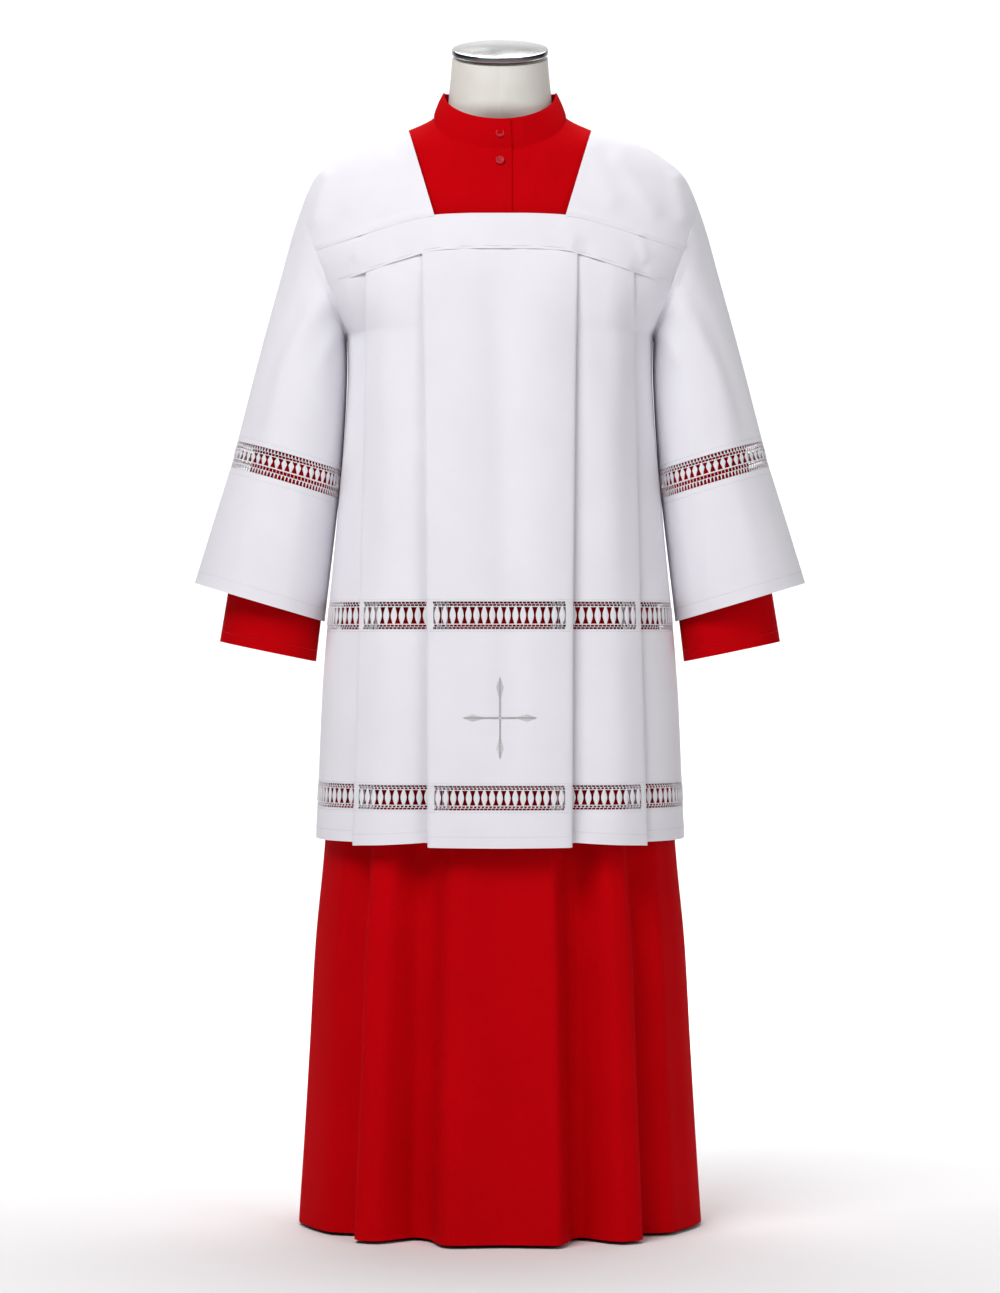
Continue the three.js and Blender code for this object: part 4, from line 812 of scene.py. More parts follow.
def sleeve_grid(ring, s, turns, hand, creases):
    """A stretch of sleeve as a grid, with its creases and with its head tucked under the shoulder's seam."""
    S, T = np.meshgrid(s, turns, indexing="ij")
    P = ring(S, T)
    n = outward(P[:, ::-1], True)[:, ::-1]
    high = 0
    seam = smooth((0.3 - S) / 0.28)
    k = DEGREES_PER_STATION
    rows = [(k * s0, turn0, k * s1, turn1, wide, rise) for s0, turn0, s1, turn1, wide, rise in creases]
    for shift in (-360, 0, 360):
        high = high + bumps(k * S, np.degrees(T) + shift, rows)
    high = high * smooth(S / 0.6) * (1 - 0.85 * smooth((-np.cos(T) - 0.75) / 0.2))
    P = P + n * (high + 0.9 * seam)[..., None]
    P[..., 0] -= SEAM_OVERLAP * seam
    return P[:, ::-1] if hand > 0 else P * np.array([-1, 1, 1])


SLEEVE_CREASES = [
    # s0, turn0, s1, turn1, width, height, with turns in degrees
    (0.2, 120, 3.4, 60, 10, 2.4), (0.1, 150, 2.6, 110, 9, 2.2), (0.3, 95, 4.0, 40, 12, -1.6),
    (0.2, 175, 4.8, 140, 12, 1.8), (1.5, 30, 5.8, 14, 12, 1.8), (0.2, -120, 3.6, -70, 11, 2.4),
    (0.2, -150, 2.8, -115, 9, 2.0), (0.4, -90, 4.4, -35, 12, -1.6), (3.5, 70, 6, 74, 12, 1.6),
    (3.8, -80, 6, -92, 13, 1.8), (4.6, 110, 6, 116, 10, 1.4), (4.6, -20, 6, -26, 12, 1.4),
]
CASSOCK_SLEEVE_CREASES = [(4.5, 60, 7, 50, 12, 1.2), (5, 120, 7, 128, 12, 1.0), (4.8, -70, 7, -60, 14, 1.3)]

# ---------------------------------------------------------------- cassock forms


def fold_at(table, degrees):
    """Share of the fold depth at turns in degrees."""
    k, v = np.array(table["turn"], float), np.array(table["deep"], float)
    i = np.clip(np.searchsorted(k, degrees, side="right") - 1, 0, len(k) - 2)
    return mix(v[i], v[i + 1], smooth((degrees - k[i]) / (k[i + 1] - k[i])))


FOLD_ROUNDING = {"degrees": (-2.2, -0.8, 0.8, 2.2), "weight": (0.2, 0.3, 0.3, 0.2)}


def cassock_level(degrees, z, face):
    """Folded level of the cassock's skirt at height z."""
    z = z + 0 * degrees
    x, y, nx, ny = cassock.level(np.radians(degrees), z)
    table = FRONT_FOLDS if face < 0 else BACK_FOLDS
    parts = zip(FOLD_ROUNDING["weight"], FOLD_ROUNDING["degrees"])
    rounded = sum(weight * fold_at(table, degrees + d) for weight, d in parts)
    deep = rounded * smooth((90 - np.abs(degrees)) / 8) * curve(FOLD_DEPTH, "z", "deep")(z)
    small = np.sin(np.radians(degrees * 11 + 40 * face)) * 0.9 + np.sin(np.radians(degrees * 17.3)) * 0.6
    deep = deep + small * smooth((700 - z) / 500)
    return np.stack([-face * (x - nx * deep), -face * (y - ny * deep), z], -1)


def neckline_height(x, face):
    """Height of the cassock's neckline at x, in front (-1) or at the back (1)."""
    rounded = np.maximum(1 - (x / NECKLINE["half"]) ** 2, 0)
    if face < 0:
        return mix(NECKLINE["side"], NECKLINE["front"], np.sqrt(rounded))
    return mix(NECKLINE["side"], NECKLINE["nape"], rounded)


def bodice_grid(u, t, face):
    """Cassock above the underarm: u from centre (0) to side (1 or -1), t from its upper edge (0) down (1)."""
    U, T = np.meshgrid(np.abs(u), t)
    neck_x = NECKLINE["half"] * np.sin(np.minimum(U / NECK_SHARE, 1) * math.pi / 2)
    ridge_x = mix(NECKLINE["half"], cassock.top[0], np.maximum(U - NECK_SHARE, 0) / (1 - NECK_SHARE))
    at_neck = U <= NECK_SHARE
    top_x = np.where(at_neck, neck_x, ridge_x)
    top_z = np.where(at_neck, neckline_height(neck_x, face), cassock.ridge_height(ridge_x))
    under = cassock.bottom[1]
    z = mix(top_z, under, T * T)
    level_x = cassock.level(U * math.pi / 2, under + 0 * U)[0]
    bow = (cassock.arm(z)[0] - mix(cassock.top[0], cassock.bottom[0], T * T)) * U * U
    x = mix(top_x, level_x, T * T) + bow
    y = cassock.reach(x, z)
    y[(T == 0) & ~at_neck] = 0
    return np.stack([np.sign(u)[None, :] * x, lean(z) + face * y, z], -1)


def lap_drop(x, drop):
    """How far the under front lies behind the upper one at x, where drop is the most."""
    return drop * (1 - smooth((x - LAP_CLEAR) / (LAP_CLEAR - 2)))


# ---------------------------------------------------------------- stitches

THREAD = (0.55, 0.4)  # width and height of a sewing stitch


def bars(name, start, end, normal, wide, high, finish):
    """Threads that lie on cloth: one low bar per row of start and end, tapered at both ends."""
    start, end, normal = (np.asarray(v, float) for v in (start, end, normal))
    beside = unit(np.cross(unit(end - start), normal))
    rings = []
    for share, size in ((0, 0.4), (0.5, 1), (1, 0.4)):
        centre = mix(start, end, share)
        for a, b in ((0.5, 0), (0, 1), (-0.5, 0), (0, -0.4)):
            rings.append(centre + beside * wide * size * a + normal * high * size * b)
    verts = np.stack(rings, 1)
    block = [[r + j, r + (j + 1) % 4, r + 4 + (j + 1) % 4, r + 4 + j] for r in (0, 4) for j in range(4)]
    block += [[3, 2, 1, 0], [8, 9, 10, 11]]
    faces = (np.arange(len(start))[:, None, None] * 12 + np.array(block)).reshape(-1, 4)
    verts = verts.reshape(-1, 3)
    return mesh_object(name, verts * MM, faces, finish, verts[faces][..., [0, 2]] * MM)


def stitches(name, on, lines, pitch, finish):
    """Runs of stitches on a piece of cloth, along lines that are each given as points and normals."""
    starts, ends, normals = [], [], []
    for points, ways in lines:
        run = run_of(points)
        at = np.arange(int(run[-1] / pitch)) * pitch
        starts.append(between(at + 0.1 * pitch, run, points))
        ends.append(between(at + 0.9 * pitch, run, points))
        normals.append(between(at, run, ways))
    sewn = bars(name, *(np.concatenate(v) for v in (starts, ends, normals)), *THREAD, finish)
    sewn.parent = bpy.data.objects[on]


def ring_line(ring, s, turns, hand, creases):
    """A closed line round a sleeve's outer face at s, with its normals."""
    P = sleeve_grid(ring, np.array([s - 0.01, s, s + 0.01]), turns, hand, creases)
    n = outward(P, True)[1]
    points = P[1] + n * STITCH_LIFT
    return np.concatenate([points, points[:1]]), np.concatenate([n, n[:1]])


def out_of_trunk(p):
    """Rough way out of the surplice's trunk at points p, level."""
    return unit(p * np.array([1, 1.6, 0]))


SEWN_ZONES = ((0, 2), (5.6, 9), (12.6, STATIONS))  # stations between which a line of stitches shows
HEM_STITCHES = 12  # above the surplice's hem


def skirt_lines(heights, face):
    """Lines along the pleated cloth's outer face at given heights, only where it shows."""
    lines = []
    for height in heights:
        for a, b in SEWN_ZONES:
            for hand in (-1, 1):
                q = DENSE[(DENSE * hand >= a) & (DENSE * hand <= b)]
                rise = hem_height(q) - SURPLICE_HEM if height == SURPLICE_HEM + HEM_STITCHES else 0
                p = skirt_row(q, height + rise, face)
                n = out_of_trunk(p)
                lines.append((p + n * (HALF_CLOTH + STITCH_LIFT), n))
    return lines


# ---------------------------------------------------------------- settings


class RobeSizes(bpy.types.PropertyGroup):
    white_cloth: bpy.props.FloatProperty(
        name="Surplice cloth", description="Thickness of the surplice's broadcloth, with its turned edges",
        default=0.0009, min=0.0003, max=0.002, unit="LENGTH")
    red_cloth: bpy.props.FloatProperty(
        name="Cassock cloth", description="Thickness of the cassock's twill, with its turned edges",
        default=0.0013, min=0.0005, max=0.003, unit="LENGTH")
    lace: bpy.props.FloatProperty(
        name="Lace", description="Thickness of the lace insertions",
        default=0.0009, min=0.0003, max=0.002, unit="LENGTH")
    ladder: bpy.props.FloatProperty(
        name="Ladder repeat", description="Spacing of the bars in the ladder lace",
        default=LADDER_PITCH * MM, min=0.005, max=0.02, unit="LENGTH")
    stitch: bpy.props.FloatProperty(
        name="Stitch", description="Length of one stitch",
        default=0.0034, min=0.002, max=0.006, unit="LENGTH")


class RobeColours(bpy.types.PropertyGroup):
    white: bpy.props.StringProperty(
        name="Surplice", description="Colour of the broadcloth, as sRGB hex", default="#F4F2F8")
    lace: bpy.props.StringProperty(
        name="Lace", description="Colour of the lace, as sRGB hex", default="#F8F6FA")
    red: bpy.props.StringProperty(
        name="Cassock", description="Colour of the twill, as sRGB hex", default="#C8000B")
    ivory: bpy.props.StringProperty(
        name="Form", description="Colour of the form's cover, as sRGB hex", default="#F3F1EB")


class RobeStage(bpy.types.PropertyGroup):
    distance: bpy.props.FloatProperty(
        name="Camera distance", description="From the camera to the middle of the robe",
        default=4.2, unit="LENGTH")
    height: bpy.props.FloatProperty(
        name="Camera height", description="Above the floor, looking level", default=0.645, unit="LENGTH")
    lens: bpy.props.FloatProperty(
        name="Lens", description="Focal length in millimetres on a 36 mm sensor", default=104.4)
    key: bpy.props.FloatProperty(
        name="Key light", description="Power of the main soft light", default=81, unit="POWER")
    fill: bpy.props.FloatProperty(
        name="Fill light", description="Power of the second soft light", default=30, unit="POWER")
    top: bpy.props.FloatProperty(
        name="Top light", description="Power of the soft light overhead", default=52, unit="POWER")
    sweep: bpy.props.FloatProperty(
        name="Backdrop light", description="Power of each of the two lights on the backdrop",
        default=140, unit="POWER")
    sky: bpy.props.FloatProperty(
        name="Room light", description="Strength of the even light all round", default=0.12)


# ---------------------------------------------------------------- operators


class ROBE_OT_form(bpy.types.Operator):
    """Builds the padded trunk and neck and the cap, and finishes the stand"""

    bl_idname = "robe.form"
    bl_label = "Dress form"

    def execute(self, context):
        read = {n: curve(TRUNK, "z", n) for n in ("half", "deep", "y", "tilt")}
        # closer rows round the shoulders and neck, up to where the cap hides them
        z = np.concatenate([np.linspace(TRUNK["z"][0], 1190, 50), np.linspace(1194, 1299, 70)])
        turn = np.linspace(0, 2 * math.pi, 129)[:-1]
        Z, T = np.meshgrid(z, turn, indexing="ij")
        bulge = mix(BULGE, 2, smooth((Z - 1200) / 40))
        tilt = np.radians(read["tilt"](Z))
        x = read["half"](Z) * np.sign(np.sin(T)) * np.abs(np.sin(T)) ** (2 / bulge)
        d = -read["deep"](Z) * np.sign(np.cos(T)) * np.abs(np.cos(T)) ** (2 / bulge)
        P = np.stack([x, read["y"](Z) + d * np.cos(tilt), Z + d * np.sin(tilt)], -1)
        trunk = turned("dress_form_trunk", P, material("form_cover", context))
        wear(trunk, ["form_trunk"])

        # the cap: a spun disc with a rounded edge and a slight crown, as radius and height from its seat up
        r, h, c, corner = CAP["radius"], CAP["height"], CAP["crown"], CAP["corner"]
        arc = np.linspace(0, math.pi / 2, 6)
        edge = [(r - corner + corner * math.cos(a), h - corner + corner * math.sin(a)) for a in arc]
        crown = [(r * k, h + c * (1 - k * k)) for k in (0.93, 0.85, 0.7, 0.5, 0.3, 0.12)]
        profile = [(r - 2, 0), (r - 0.4, 0.2), (r, 0.8)] + edge + crown
        tilt, gap = math.radians(TRUNK["tilt"][-1]), CAP["gap"]
        sin, cos = math.sin(tilt), math.cos(tilt)
        leaning = np.array([[1, 0, 0], [0, cos, sin], [0, -sin, cos]])
        seat = np.array([0, TRUNK["y"][-1] - gap * sin, TRUNK["z"][-1] + gap * cos])
        rings = [circle(radius, height, 96) @ leaning + seat for radius, height in profile]
        cap = turned("dress_form_cap", rings, material("cap", context))
        # the edge faces take the darker copy of the chrome: painted dark reflection of the room's shadows
        cap.data.materials.append(material("cap_edge", context))
        for face in cap.data.polygons:
            if abs(face.normal.z) < 0.6:
                face.material_index = 1
        wear(cap, ["form_cap"])

        for name in ("form_pole", "form_foot"):
            steel = bpy.data.objects[name]
            steel.data.materials.clear()
            steel.data.materials.append(material("stand", context))
        return {"FINISHED"}


CHEST_LEVELS = [960, 890]  # between the underarm and the waist
FRONT_CREASES = [
    # x0, z0, x1, z1, width, height
    (16, 1166, 30, 1178, 3.5, 2.04), (-30, 1150, -58, 1172, 6, 1.53), (18, 1132, 40, 1146, 5, 1.36),
    (-16, 1130, -40, 1138, 5, 1.19), (44, 1186, 60, 1162, 6, 1.36), (-52, 1188, -64, 1160, 6, 1.19),
]


class ROBE_OT_cassock_body(bpy.types.Operator):
    """Builds the cassock's fronts, back and skirt"""

    bl_idname = "robe.cassock_body"
    bl_label = "Cassock body"

    def execute(self, context):
        thick = context.scene.robe_sizes.red_cloth / MM
        red = material("red_cloth", context)
        drops = np.linspace(0, 1, 36)
        below = np.concatenate([CHEST_LEVELS, np.linspace(WAIST, HEM_CLEARANCE, 56)])

        u = np.linspace(-1, 1, 231)
        upper = bodice_grid(u, drops, 1)
        lower = np.array([cassock_level(-90 * u, z, 1) for z in below])
        back = sheet_mesh("cassock_back_panel", np.concatenate([upper, lower])[:, ::-1], thick, red)
        wear(back, ["cassock_back"], CUTS["cassock_back"])

        # each front: a flat strip round the centre, from its lap's edge, and then the rest out to the side
        across = np.linspace(0.1125, 1, 70)
        flat = np.array([-LAP, -LAP + 0.6, -9, -5, 0, 5, 10, LAP_CLEAR], float)
        waist = WAIST + SEAM_GAP
        for hand, name in ((-1, "right"), (1, "left")):
            side = bodice_grid(hand * across, drops, -1)
            centre = bodice_grid(np.array([0.0]), drops, -1)[:, 0]
            strip = []
            for x in flat:
                z = centre[:, 2].copy()
                z[0] = neckline_height(np.array(hand * x), -1)
                strip.append(cassock.at(np.full_like(z, hand * x), z, -1))
            P = np.concatenate([np.stack(strip, 1), side], 1)
            turns = np.degrees(cassock.turn(flat, waist)) * np.sign(flat)
            turns = np.concatenate([turns, 90 * across]) * hand
            low = np.array([cassock_level(turns, z, -1) for z in CHEST_LEVELS + [waist]])
            P = np.concatenate([P, low])
            drop = lap_drop(P[..., 0], thick + LAP_GAP) if hand > 0 else 0 * P[..., 0]
            crumple = bumps(P[..., 0], P[..., 2], FRONT_CREASES) * smooth((1212 - P[..., 2]) / 20)
            P = P + cassock.normal(P) * (crumple - drop)[..., None]
            if hand < 0:
                P = P[:, ::-1]
            panel = sheet_mesh(f"cassock_front_{name}", P, thick, red)
            wear(panel, [f"cassock_bodice_{name}"], CUTS["cassock_bodice"])

        turns = np.linspace(-90, 90, 361)
        P = np.array([cassock_level(turns, z, -1) for z in np.linspace(WAIST - SEAM_GAP, HEM_CLEARANCE, 58)])
        skirt = sheet_mesh("cassock_skirt_panel", P, thick, red)
        wear(skirt, ["cassock_skirt_front"], CUTS["cassock_skirt_front"])
        return {"FINISHED"}


class ROBE_OT_cassock_collar(bpy.types.Operator):
    """Builds the stand collar"""

    bl_idname = "robe.cassock_collar"
    bl_label = "Stand collar"

    def execute(self, context):
        thick = context.scene.robe_sizes.red_cloth / MM
        lap = math.degrees(math.asin(LAP / NECKLINE["half"]))
        degrees = np.linspace(-lap, 360 + lap, 190)
        turn = np.radians(degrees)
        front = np.cos(turn) > 0
        x = NECKLINE["half"] * np.sin(turn)
        z = np.where(front, neckline_height(x, -1), neckline_height(x, 1)) - SEAM_OVERLAP
        low = np.stack([x, lean(z) + np.where(front, -1, 1) * cassock.reach(x, z), z], 1)
        rise = np.where(front, np.cos(turn), np.cos(turn) ** 2)
        end = np.where(front, COLLAR_TOP["front"], COLLAR_TOP["nape"])
        half, deep = COLLAR_TOP["half"], COLLAR_TOP["deep"]
        high = np.stack([half * np.sin(turn), COLLAR_TOP["y"] - deep * np.cos(turn),
                         mix(COLLAR_TOP["side"], end, rise)], 1)
        out = unit(np.stack([np.sin(turn) / NECKLINE["half"], -np.cos(turn) / deep, 0 * turn], 1))
        drop = np.where(degrees < 90, lap_drop(x, thick + LAP_GAP), 0)
        rows = []  # from the upper edge down, bellied and slightly wavy, with both edges turned
        for t in (1, 0.985, 0.95, 0.88, 0.75, 0.6, 0.45, 0.3, 0.15, 0.05, 0):
            belly = 1.1 * math.sin(math.pi * t) + (0.5 if 0.05 < t < 0.97 else 0)
            wobble = 0.35 * np.sin(turn * 7 + 1) * math.sin(math.pi * t)
            rows.append(low + (high - low) * t + out * (belly + wobble - drop)[:, None])
        red = material("red_cloth", context)
        collar = sheet_mesh("cassock_stand_collar", np.array(rows), thick + COLLAR_EXTRA, red)
        wear(collar, ["cassock_collar"], CUTS["cassock_collar"])
        return {"FINISHED"}


class ROBE_OT_cassock_sleeves(bpy.types.Operator):
    """Builds the cassock's two sleeves"""

    bl_idname = "robe.cassock_sleeves"
    bl_label = "Cassock sleeves"

    def execute(self, context):
        thick = context.scene.robe_sizes.red_cloth / MM
        red = material("red_cloth", context)
        # closer rows where the sleeve shows below the bell
        s = np.concatenate([np.linspace(0, 4, 20), np.linspace(4.1, 7, 40)])
        turns = np.linspace(0, 2 * math.pi, 97)[:-1]
        for hand, name in ((1, "left"), (-1, "right")):
            P = sleeve_grid(cassock_ring, s, turns, hand, CASSOCK_SLEEVE_CREASES)
            sleeve = sheet_mesh(f"cassock_sleeve_tube_{name}", P, thick, red, closed=True)
            wear(sleeve, [f"cassock_sleeve_{name}"], CUTS["cassock_sleeve"])
        return {"FINISHED"}


BUTTON = {
    # radius and height from the back face, over the rim and down into the dish
    "rim": [(4.6, 0), (4.9, 0.4), (4.9, 0.9), (4.8, 1.6), (4.6, 2.05), (4.3, 2.3), (3.9, 2.38), (3.5, 2.2),
            (3.2, 1.8), (2.9, 1.4), (2.6, 1.22)],
    "dish": 1.2, "rings": (2.3, 2, 1.7, 1.4, 1.15, 0.9, 0.65, 0.4, 0.15),
    "hole": (0.95, 0.62, 0.95),  # offset from the centre, width and depth
    "half": 1.2,  # from the button's back to the middle of its thickness
}


class ROBE_OT_cassock_buttons(bpy.types.Operator):
    """Builds the two buttons that show, each with four thread holes"""

    bl_idname = "robe.cassock_buttons"
    bl_label = "Buttons"

    def execute(self, context):
        for name in ("collar", "chest"):
            low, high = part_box(f"cassock_button_{name}")
            centre = (Vector(low) + Vector(high)) / 2
            z = centre.z / MM
            if name == "chest":
                p = cassock.at(np.array([0.0]), np.array([z]), -1)
                way = Vector(cassock.normal(p)[0])
            else:
                way = Vector((0, -1, 0.25)).normalized()
            profile = BUTTON["rim"] + [(radius, BUTTON["dish"]) for radius in BUTTON["rings"]]
            rings = np.array([circle(radius, height, 48) for radius, height in profile])
            holes = np.zeros(rings.shape[:2])
            off, wide, deep = BUTTON["hole"]
            for hx, hy in ((-off, -off), (off, -off), (-off, off), (off, off)):
                away = np.hypot(rings[..., 0] - hx, rings[..., 1] - hy)
                holes += deep * np.exp(-((away / wide) ** 4))
            inside = BUTTON["rim"].index((3.2, 1.8))
            rings[inside:, :, 2] -= holes[inside:]
            facing = np.array(Vector((0, 0, 1)).rotation_difference(way).to_matrix())
            rings = rings @ facing.T + np.array(centre) / MM - np.array(way) * BUTTON["half"]
            button = turned(f"cassock_resin_button_{name}", rings, material("button", context))
            wear(button, [f"cassock_button_{name}"])
        return {"FINISHED"}


YOKE_LIFT, YOKE_SINK = 0.3, 0.8  # rise over the trunk's surface, and share of the pleats' recess to follow
YOKE_CREASES = {
    # x0, z0, x1, z1, width, height
    -1: [(-120, 1190, -168, 1120, 11, 2.25), (-95, 1200, -130, 1120, 12, 1.8),
         (-190, 1170, -205, 1110, 9, 2.4), (124, 1188, 172, 1118, 11, 2.1), (96, 1196, 126, 1126, 12, 1.8),
         (192, 1168, 204, 1112, 9, 2.4), (-60, 1100, -40, 1082, 7, 0.75), (66, 1104, 84, 1084, 7, 0.75),
         (-150, 1096, -160, 1066, 6, 1.2), (152, 1096, 160, 1066, 6, 1.2), (-20, 1106, -4, 1090, 6, 0.525)],
    1: [(-120, 1196, -172, 1130, 12, 2.4), (122, 1196, 168, 1130, 12, 2.25),
        (-60, 1140, -30, 1124, 8, 0.9), (40, 1146, 70, 1128, 8, 0.9), (-194, 1160, -204, 1110, 9, 2.1),
        (194, 1164, 206, 1112, 9, 2.1)],
}


class ROBE_OT_surplice_yoke(bpy.types.Operator):
    """Builds the yoke bands and the shoulder pieces"""

    bl_idname = "robe.surplice_yoke"
    bl_label = "Surplice yoke"

    def execute(self, context):
        thick = context.scene.robe_sizes.white_cloth / MM
        white = material("white_cloth", context)
        for side, face in (("front", -1), ("back", 1)):
            top_half, top = yoke_seam(side, 0)
            low_half, low = yoke_seam(side, YOKE["band"])
            share = np.linspace(-1, 1, 181) * -face
            corner = smooth((np.abs(share) - NECK_CORNER) / 0.03)
            under = skirt_recess(share * low_half, side)
            rows = []  # shares of the way down the band, from above its upper seam
            for h in np.concatenate([[-0.08, -0.04, 0, 0.03], np.linspace(0.07, 0.9, 15), [0.94, 0.97, 1]]):
                down = max(h, 0)
                x = share * mix(top_half, low_half, down)
                z = mix(top(share), low(share) - SEAM_OVERLAP, down) - YOKE["band"] * min(h, 0) * corner
                p = surplice.at(x, z, face)
                # tucked under the shoulder pieces, sunk between the pleats, puckered at the lower seam
                tucked = smooth((0.09 - h) / 0.06) * corner
                raised = YOKE_LIFT - 0.35 * tucked - YOKE_SINK * under * smooth((h - 0.3) / 0.6)
                pucker = 0.45 * np.sin(x / 5.1 + 0.4 * np.sin(x / 17))
                raised = raised + pucker * math.exp(-(((1 - h) / 0.2) ** 2))
                raised = raised + bumps(x, z, YOKE_CREASES[face]) * smooth(h / 0.2)
                rows.append(p + surplice.normal(p) * raised[:, None])
            band = sheet_mesh(f"surplice_yoke_band_{side}", np.array(rows), thick, white)
            wear(band, [f"surplice_yoke_{side}"], CUTS[f"surplice_yoke_{side}"])

        for hand, name in ((1, "left"), (-1, "right")):
            out = np.linspace(0, 1, 41)  # from the neckline to the armhole
            share = mix(NECK_CORNER, 1, out)
            steps = 1 - (1 - np.linspace(0, 1, 66)) ** 1.4
            rows = []  # from the back seam over the ridge to the front seam
            for step in np.concatenate([-steps[:0:-1], steps]):
                face, fall = (1, -step) if step < 0 else (-1, step)
                seam_half, seam = yoke_seam("back" if face > 0 else "front", 0)
                ridge_x = mix(YOKE["neck"], surplice.top[0], out)
                ridge_z = surplice.ridge_height(ridge_x)
                seam_z = seam(share) - SEAM_OVERLAP
                z = mix(ridge_z, seam_z, fall * fall)
                fallen = (ridge_z - z) / (ridge_z - seam_z)
                neck_x = mix(YOKE["neck"], NECK_CORNER * seam_half, fallen)
                x = mix(neck_x, surplice.arm(z)[0], out) if fall > 0 else ridge_x
                p = surplice.at(hand * x, z, face)
                if fall == 0:
                    p[:, 1] = lean(z)
                cord = 1.1 * np.exp(-(((z - seam_z - 4.5) / 3.4) ** 2)) + 0.3 * smooth((fall - 0.85) / 0.1)
                high = bumps(p[:, 0], z, YOKE_CREASES[face]) * smooth(fall / 0.3)
                high = high + 0.5 * np.exp(-((out / 0.05) ** 2)) + cord
                rows.append(p + surplice.normal(p) * high[:, None])
            P = np.array(rows)
            if hand < 0:
                P = P[:, ::-1]
            piece = sheet_mesh(f"surplice_shoulder_saddle_{name}", P, thick, white)
            wear(piece, [f"surplice_shoulder_{name}"], CUTS["surplice_shoulder"])
        return {"FINISHED"}


class ROBE_OT_surplice_body(bpy.types.Operator):
    """Builds the pleated cloth of the surplice between its lace bands"""

    bl_idname = "robe.surplice_body"
    bl_label = "Surplice body"

    def execute(self, context):
        thick = context.scene.robe_sizes.white_cloth / MM
        white = material("white_cloth", context)
        for side, face in (("front", -1), ("back", 1)):
            top = skirt_top(side) + 3  # goes in under the band
            arm = surplice.bottom[1]
            rows = [skirt_row(DENSE, mix(top, arm, t), face) for t in np.linspace(0, 1, 18)]
            rows += [skirt_row(DENSE, z, face) for z in np.linspace(arm, LACE_UPPER[0] + 0.1, 36)[1:]]
            upper = sheet_mesh(f"surplice_pleated_{side}", np.array(rows), thick, white, out=0.5)
            wear(upper, [f"surplice_body_{side}"], CUTS[f"surplice_body_{side}"])
            heights = np.linspace(LACE_UPPER[1] - 0.1, LACE_LOWER[0] + 0.1, 26)
            rows = [skirt_row(DENSE, z, face) for z in heights]
            middle = sheet_mesh(f"surplice_pleated_middle_{side}", np.array(rows), thick, white, out=0.5)
            wear(middle, [f"surplice_middle_{side}"], CUTS["surplice_middle"])
            edge = hem_height(DENSE)
            rows = [skirt_row(DENSE, mix(LACE_LOWER[1] - 0.1, edge, t), face)
                    for t in (0, 0.1, 0.25, 0.4, 0.55, 0.68, 0.72, 0.76, 0.9, 0.97, 1)]
            hem = sheet_mesh(f"surplice_pleated_hem_{side}", np.array(rows), thick, white, out=0.5)
            wear(hem, [f"surplice_hem_{side}"], CUTS["surplice_hem"])
        return {"FINISHED"}


class ROBE_OT_surplice_lace(bpy.types.Operator):
    """Builds the two ladder-lace bands round the surplice's body"""

    bl_idname = "robe.surplice_lace"
    bl_label = "Body lace"

    def execute(self, context):
        thick = context.scene.robe_sizes.lace / MM
        pitch = context.scene.robe_sizes.ladder / MM
        thread = material("lace", context)
        for name, (high, low) in (("upper", LACE_UPPER), ("lower", LACE_LOWER)):
            for side, face in (("front", -1), ("back", 1)):
                run = run_of(skirt_row(DENSE, (high + low) / 2, face))
                zones = []
                for a, b in FLAT_ZONES:
                    start, end = np.interp([a, b], DENSE, run)
                    zones.append((start + (0 if a == 0 else 1), end - (1 if b == STATIONS else STRIP), 1))
                for a, b in HIDDEN_ZONES:
                    start, end = np.interp([a, b], DENSE, run)
                    zones.append((start, end, HIDDEN_BAR))
                zones.sort()
                whole = run[-1]
                mirrored = [(whole - end, whole - start, full) for start, end, full in zones[:0:-1]]
                zones = mirrored + [(whole - zones[0][1], zones[0][1], 1)] + zones[1:]
                columns = lace_columns(zones, pitch, list(run))

                def place(length, down, raised, high=high, face=face, run=run):
                    p = between(length, run, skirt_row(DENSE, high - down, face))
                    return p + out_of_trunk(p) * raised[:, None]

                P, keep = lace_grid(columns, high - low, place)
                band = sheet_mesh(f"surplice_ladder_{name}_{side}", P, thick, thread, keep=keep, out=0.5)
                wear(band, [f"surplice_lace_{name}_{side}"], CUTS[f"surplice_lace_{name}"])
        return {"FINISHED"}


